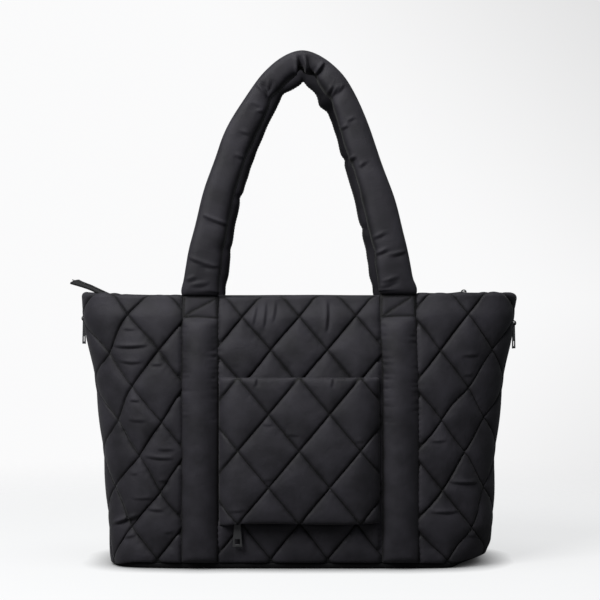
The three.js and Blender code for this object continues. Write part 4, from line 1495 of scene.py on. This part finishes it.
def quilt_rows(cell, centre_v, low, high, hidden):
    """The sewing lines of a panel, as flat points, cropped to a rectangle and to what isn't hidden."""
    lines = []
    v = np.arange(low[1], high[1], ROW_STEP)
    for lean in (-1, 1):
        for count in range(-12, 13):
            u = cell[0] * (count + lean * (v - centre_v) / cell[1])
            flat = np.stack([u, v, np.full(v.shape, THREAD_RISE)], axis=1)
            keep = (u > low[0]) & (u < high[0]) & ~hidden(u, v)
            lines += runs(flat, keep)
    return lines


def behind_rear(u, v):
    return np.abs(np.abs(u) - BAND_X) < BAND_HALF + 1


def behind_front(u, v):
    behind_pocket = (np.abs(u) < BAND_X) & (v > POCKET_LOW - 2) & (v < POCKET_HIGH + 1)
    return behind_rear(u, v) | behind_pocket


def never(u, v):
    return np.zeros(u.shape, bool)


low, high = (-254, WALL_LOW + 2), (254, ROLL_START + 9)
for name, rear, hidden in (("thread_front", False, behind_front), ("thread_rear", True, behind_rear)):
    rows = quilt_rows(QUILT, QUILT_CENTRE, low, high, hidden)
    lines = []
    for row in rows:
        along, up = drift(row[:, 0], row[:, 1], rear)
        lines.append(standing(on_wall(row + np.stack([along, up, np.zeros(len(row))], axis=1), rear), rear))
    hand_in_trim(beads(name, stitches(lines, *QUILT_STITCH), THREAD))
rows = quilt_rows(POCKET_QUILT, POCKET_CENTRE, (-80, 50), (80, 194), never)
lines = [wall_points(u, v, pocket_back(u, v) + SEAM + THREAD_RISE) for u, v, w in (row.T for row in rows)]
hand_in_trim(beads("thread_pocket", stitches(lines, *QUILT_STITCH), THREAD))


# %% Stitches of the bands
def band_rows(middle, rear):
    z = np.arange(BAND_LOW + 1.5, BAND_HIGH - 1, ROW_STEP)
    rows = [(np.full(z.shape, side * (BAND_HALF + 0.3)), z, 0.4) for side in (-1, 1)]
    u, up = np.linspace(-BOX_SEWN, BOX_SEWN, 20), np.linspace(BOX_LOW, BOX_HIGH, 20)
    level_rows = [(u, np.full(20, height)) for height in (BOX_LOW, BOX_HIGH)]
    upright_rows = [(np.full(20, across), up) for across in (-BOX_SEWN, BOX_SEWN)]
    for across, height in level_rows + [(u, up)] + upright_rows:
        rows.append((across, height, 0.5 + BOX_FLAT))
    lines = []
    for across, height, out in rows:
        lines.append(wall_points(band_middle(middle, height, rear) + across, height, SEAM + GAP + out, rear))
    return lines


for half, rear in HALVES:
    lines = [standing(line, rear) for side in (-1, 1) for line in band_rows(side * BAND_X, rear)]
    hand_in_trim(beads(f"thread_bands_{half}", stitches(lines, *BAND_STITCH), THREAD))

# %% Stitches of the handles
for name, placed in (("thread_handle_front", front_rings), ("thread_handle_rear", rear_rings)):
    beside_seam = [placed[8:-8, 1], placed[8:-8, -2]]
    hand_in_trim(beads(name, stitches(beside_seam, *HANDLE_STITCH), THREAD))

# %% [markdown]
# ## Cloth, tape, thread and metal
# All the cloth is black, so its look comes from how it takes the light: a fine weave, a soft crinkle, a
# little sheen on the puffs, and painted shade in the grooves where it is sewn. Weave and crinkle are node
# groups that the finishes share.


# %% Node groups
def new_group(name, inputs, outputs):
    group = bpy.data.node_groups.new(name, "ShaderNodeTree")
    for label, kind in inputs:
        group.interface.new_socket(label, in_out="INPUT", socket_type=kind)
    for label, kind in outputs:
        group.interface.new_socket(label, in_out="OUTPUT", socket_type=kind)
    return group, group.nodes.new("NodeGroupInput"), group.nodes.new("NodeGroupOutput")


# %% Weave
FLOAT, VECTOR = "NodeSocketFloat", "NodeSocketVector"
weave, given, result = new_group("weave", (("Place", VECTOR), ("Threads", FLOAT)), (("Height", FLOAT),))
parts = add_node(weave, "ShaderNodeSeparateXYZ", {"Vector": given.outputs["Place"]})
waves = []
for axis in ("X", "Y"):
    turned = math_node(weave, "MULTIPLY", parts.outputs[axis], given.outputs["Threads"])
    waves.append(math_node(weave, "SINE", turned))
set_inputs(weave, result, {"Height": math_node(weave, "MULTIPLY", *waves)})
print("weave group:", len(weave.nodes), "nodes")

# %% Crinkle
FINE_CRINKLE = {"Scale": 140.0, "Detail": 3.0, "Roughness": 0.55, "Distortion": 0.6}
BROAD_CRINKLE = {"Scale": 38.0, "Detail": 2.0, "Roughness": 0.5}
crinkle, given, result = new_group("crinkle", (("Place", VECTOR),), (("Height", FLOAT), ("Shade", FLOAT)))
noises = []
for values in (FINE_CRINKLE, BROAD_CRINKLE):
    noise = add_node(crinkle, "ShaderNodeTexNoise", {"Vector": given.outputs["Place"], **values})
    noises.append(noise.outputs["Fac"])
half_fine = math_node(crinkle, "MULTIPLY", noises[0], 0.5)
set_inputs(crinkle, result, {"Height": math_node(crinkle, "ADD", half_fine, noises[1]), "Shade": noises[1]})
print("crinkle group:", len(crinkle.nodes), "nodes")

# %% Cloth finish
THREAD_PITCH = 0.0011  # one wave of the weave, in metres
SEAM_SHADE_STRENGTH = 0.75  # how much painted shade darkens the cloth in a sewn line's groove
LIGHT_FROM = 0.75  # the shade of the crinkle at which the cloth is lightest
CRINKLE_DEEP, WEAVE_DEEP, WEAVE_STRENGTH = 0.002, 0.0002, 0.25


def cloth_finish(name, shades, rough, crinkled, place_by="UV", sheen=0.08):
    """A woven cloth. shades are its dark and its light colour, rough its least and its most roughness."""
    finish, tree, shader = new_material(name)
    if place_by == "UV":
        place = add_node(tree, "ShaderNodeUVMap", uv_map="cloth").outputs["UV"]
    else:
        place = add_node(tree, "ShaderNodeTexCoord").outputs["Object"]
    turns = 2 * math.pi / THREAD_PITCH
    threads = add_node(tree, "ShaderNodeGroup", {"Place": place, "Threads": turns}, node_tree=weave)
    folds = add_node(tree, "ShaderNodeGroup", {"Place": place}, node_tree=crinkle).outputs
    # painted shade: the cloth's colour is darkened in the grooves of its sewn lines, on top of its own
    # random tone
    sewn = add_node(tree, "ShaderNodeAttribute", attribute_name="seam").outputs["Fac"]
    shade = math_node(tree, "SUBTRACT", folds["Shade"], math_node(tree, "MULTIPLY", sewn, SEAM_SHADE_STRENGTH))
    ramp = add_node(tree, "ShaderNodeValToRGB", {"Fac": shade})
    for stop, position, colour in zip(ramp.color_ramp.elements, (0.0, LIGHT_FROM), shades):
        stop.position = position
        stop.color = (*colour, 1)
    gloss_values = {"Value": folds["Shade"], "To Min": rough[0], "To Max": rough[1]}
    gloss = add_node(tree, "ShaderNodeMapRange", gloss_values)
    soft_values = {"Height": folds["Height"], "Strength": crinkled, "Distance": CRINKLE_DEEP}
    soft = add_node(tree, "ShaderNodeBump", soft_values)
    woven = add_node(tree, "ShaderNodeBump", {"Strength": WEAVE_STRENGTH, "Distance": WEAVE_DEEP})
    set_inputs(tree, woven, {"Height": threads.outputs["Height"], "Normal": soft.outputs["Normal"]})
    set_inputs(tree, shader, {
        "Base Color": ramp.outputs["Color"],
        "Roughness": gloss.outputs["Result"],
        "Normal": woven.outputs["Normal"],
        "Specular IOR Level": 0.25,
        "Sheen Weight": sheen,
        "Sheen Roughness": 0.45,
    })
    return finish


NYLON = (0.0025, 0.0024, 0.003), (0.0315, 0.0295, 0.0375)  # dark and light
BASE_BLACK = (0.0035, 0.0035, 0.004), (0.008, 0.008, 0.009)
TAPE_BLACK = (0.004, 0.004, 0.0045), (0.011, 0.011, 0.012)
THREAD_BLACK = (0.004, 0.004, 0.0045), (0.01, 0.01, 0.011)
COIL_BLACK = (0.006, 0.006, 0.0065), (0.014, 0.014, 0.015)
quilted_nylon = cloth_finish("quilted_nylon", NYLON, (0.56, 0.72), 0.35)
smooth_nylon = cloth_finish("smooth_nylon", NYLON, (0.54, 0.7), 0.3)
base_cloth = cloth_finish("base_cloth", BASE_BLACK, (0.7, 0.85), 0.2, sheen=0.0)
zip_tape = cloth_finish("zip_tape", TAPE_BLACK, (0.6, 0.75), 0.15)
thread = cloth_finish("thread", THREAD_BLACK, (0.5, 0.65), 0.1, place_by="Object")
coil_finish = cloth_finish("coil", COIL_BLACK, (0.4, 0.55), 0.1, place_by="Object")
print("cloth finishes:", [material.name for material in bpy.data.materials])

# %% Metal finish
METAL = {"Base Color": (0.07, 0.07, 0.073, 1), "Metallic": 0.55}
METAL_SPECKS = {"Scale": 900.0, "Detail": 2.0}
METAL_ROUGH = {"To Min": 0.28, "To Max": 0.46}
METAL_GRAIN = {"Strength": 0.12, "Distance": 0.0003}
dark_metal, tree, shader = new_material("dark_metal")
place = add_node(tree, "ShaderNodeTexCoord").outputs["Object"]
speck = add_node(tree, "ShaderNodeTexNoise", {"Vector": place, **METAL_SPECKS}).outputs["Fac"]
gloss = add_node(tree, "ShaderNodeMapRange", {"Value": speck, **METAL_ROUGH}).outputs["Result"]
grain = add_node(tree, "ShaderNodeBump", {"Height": speck, **METAL_GRAIN}).outputs["Normal"]
set_inputs(tree, shader, {"Roughness": gloss, "Normal": grain, **METAL})
print("metal finish:", len(tree.nodes), "nodes")

# %% Dress the pieces
FINISHES = (
    ("quilted_", quilted_nylon),
    ("band_", smooth_nylon),
    ("padded_", smooth_nylon),
    ("top_panel", smooth_nylon),
    ("base", base_cloth),
    ("zip_", zip_tape),
    ("coil_", coil_finish),
    ("thread_", thread),
    ("metal_", dark_metal),
)
for piece in scene.objects:
    for start, finish in FINISHES:
        if piece.type == "MESH" and piece.name.startswith(start) and piece.name not in frame["nodes"]:
            piece.data.materials.clear()
            piece.data.materials.append(finish)
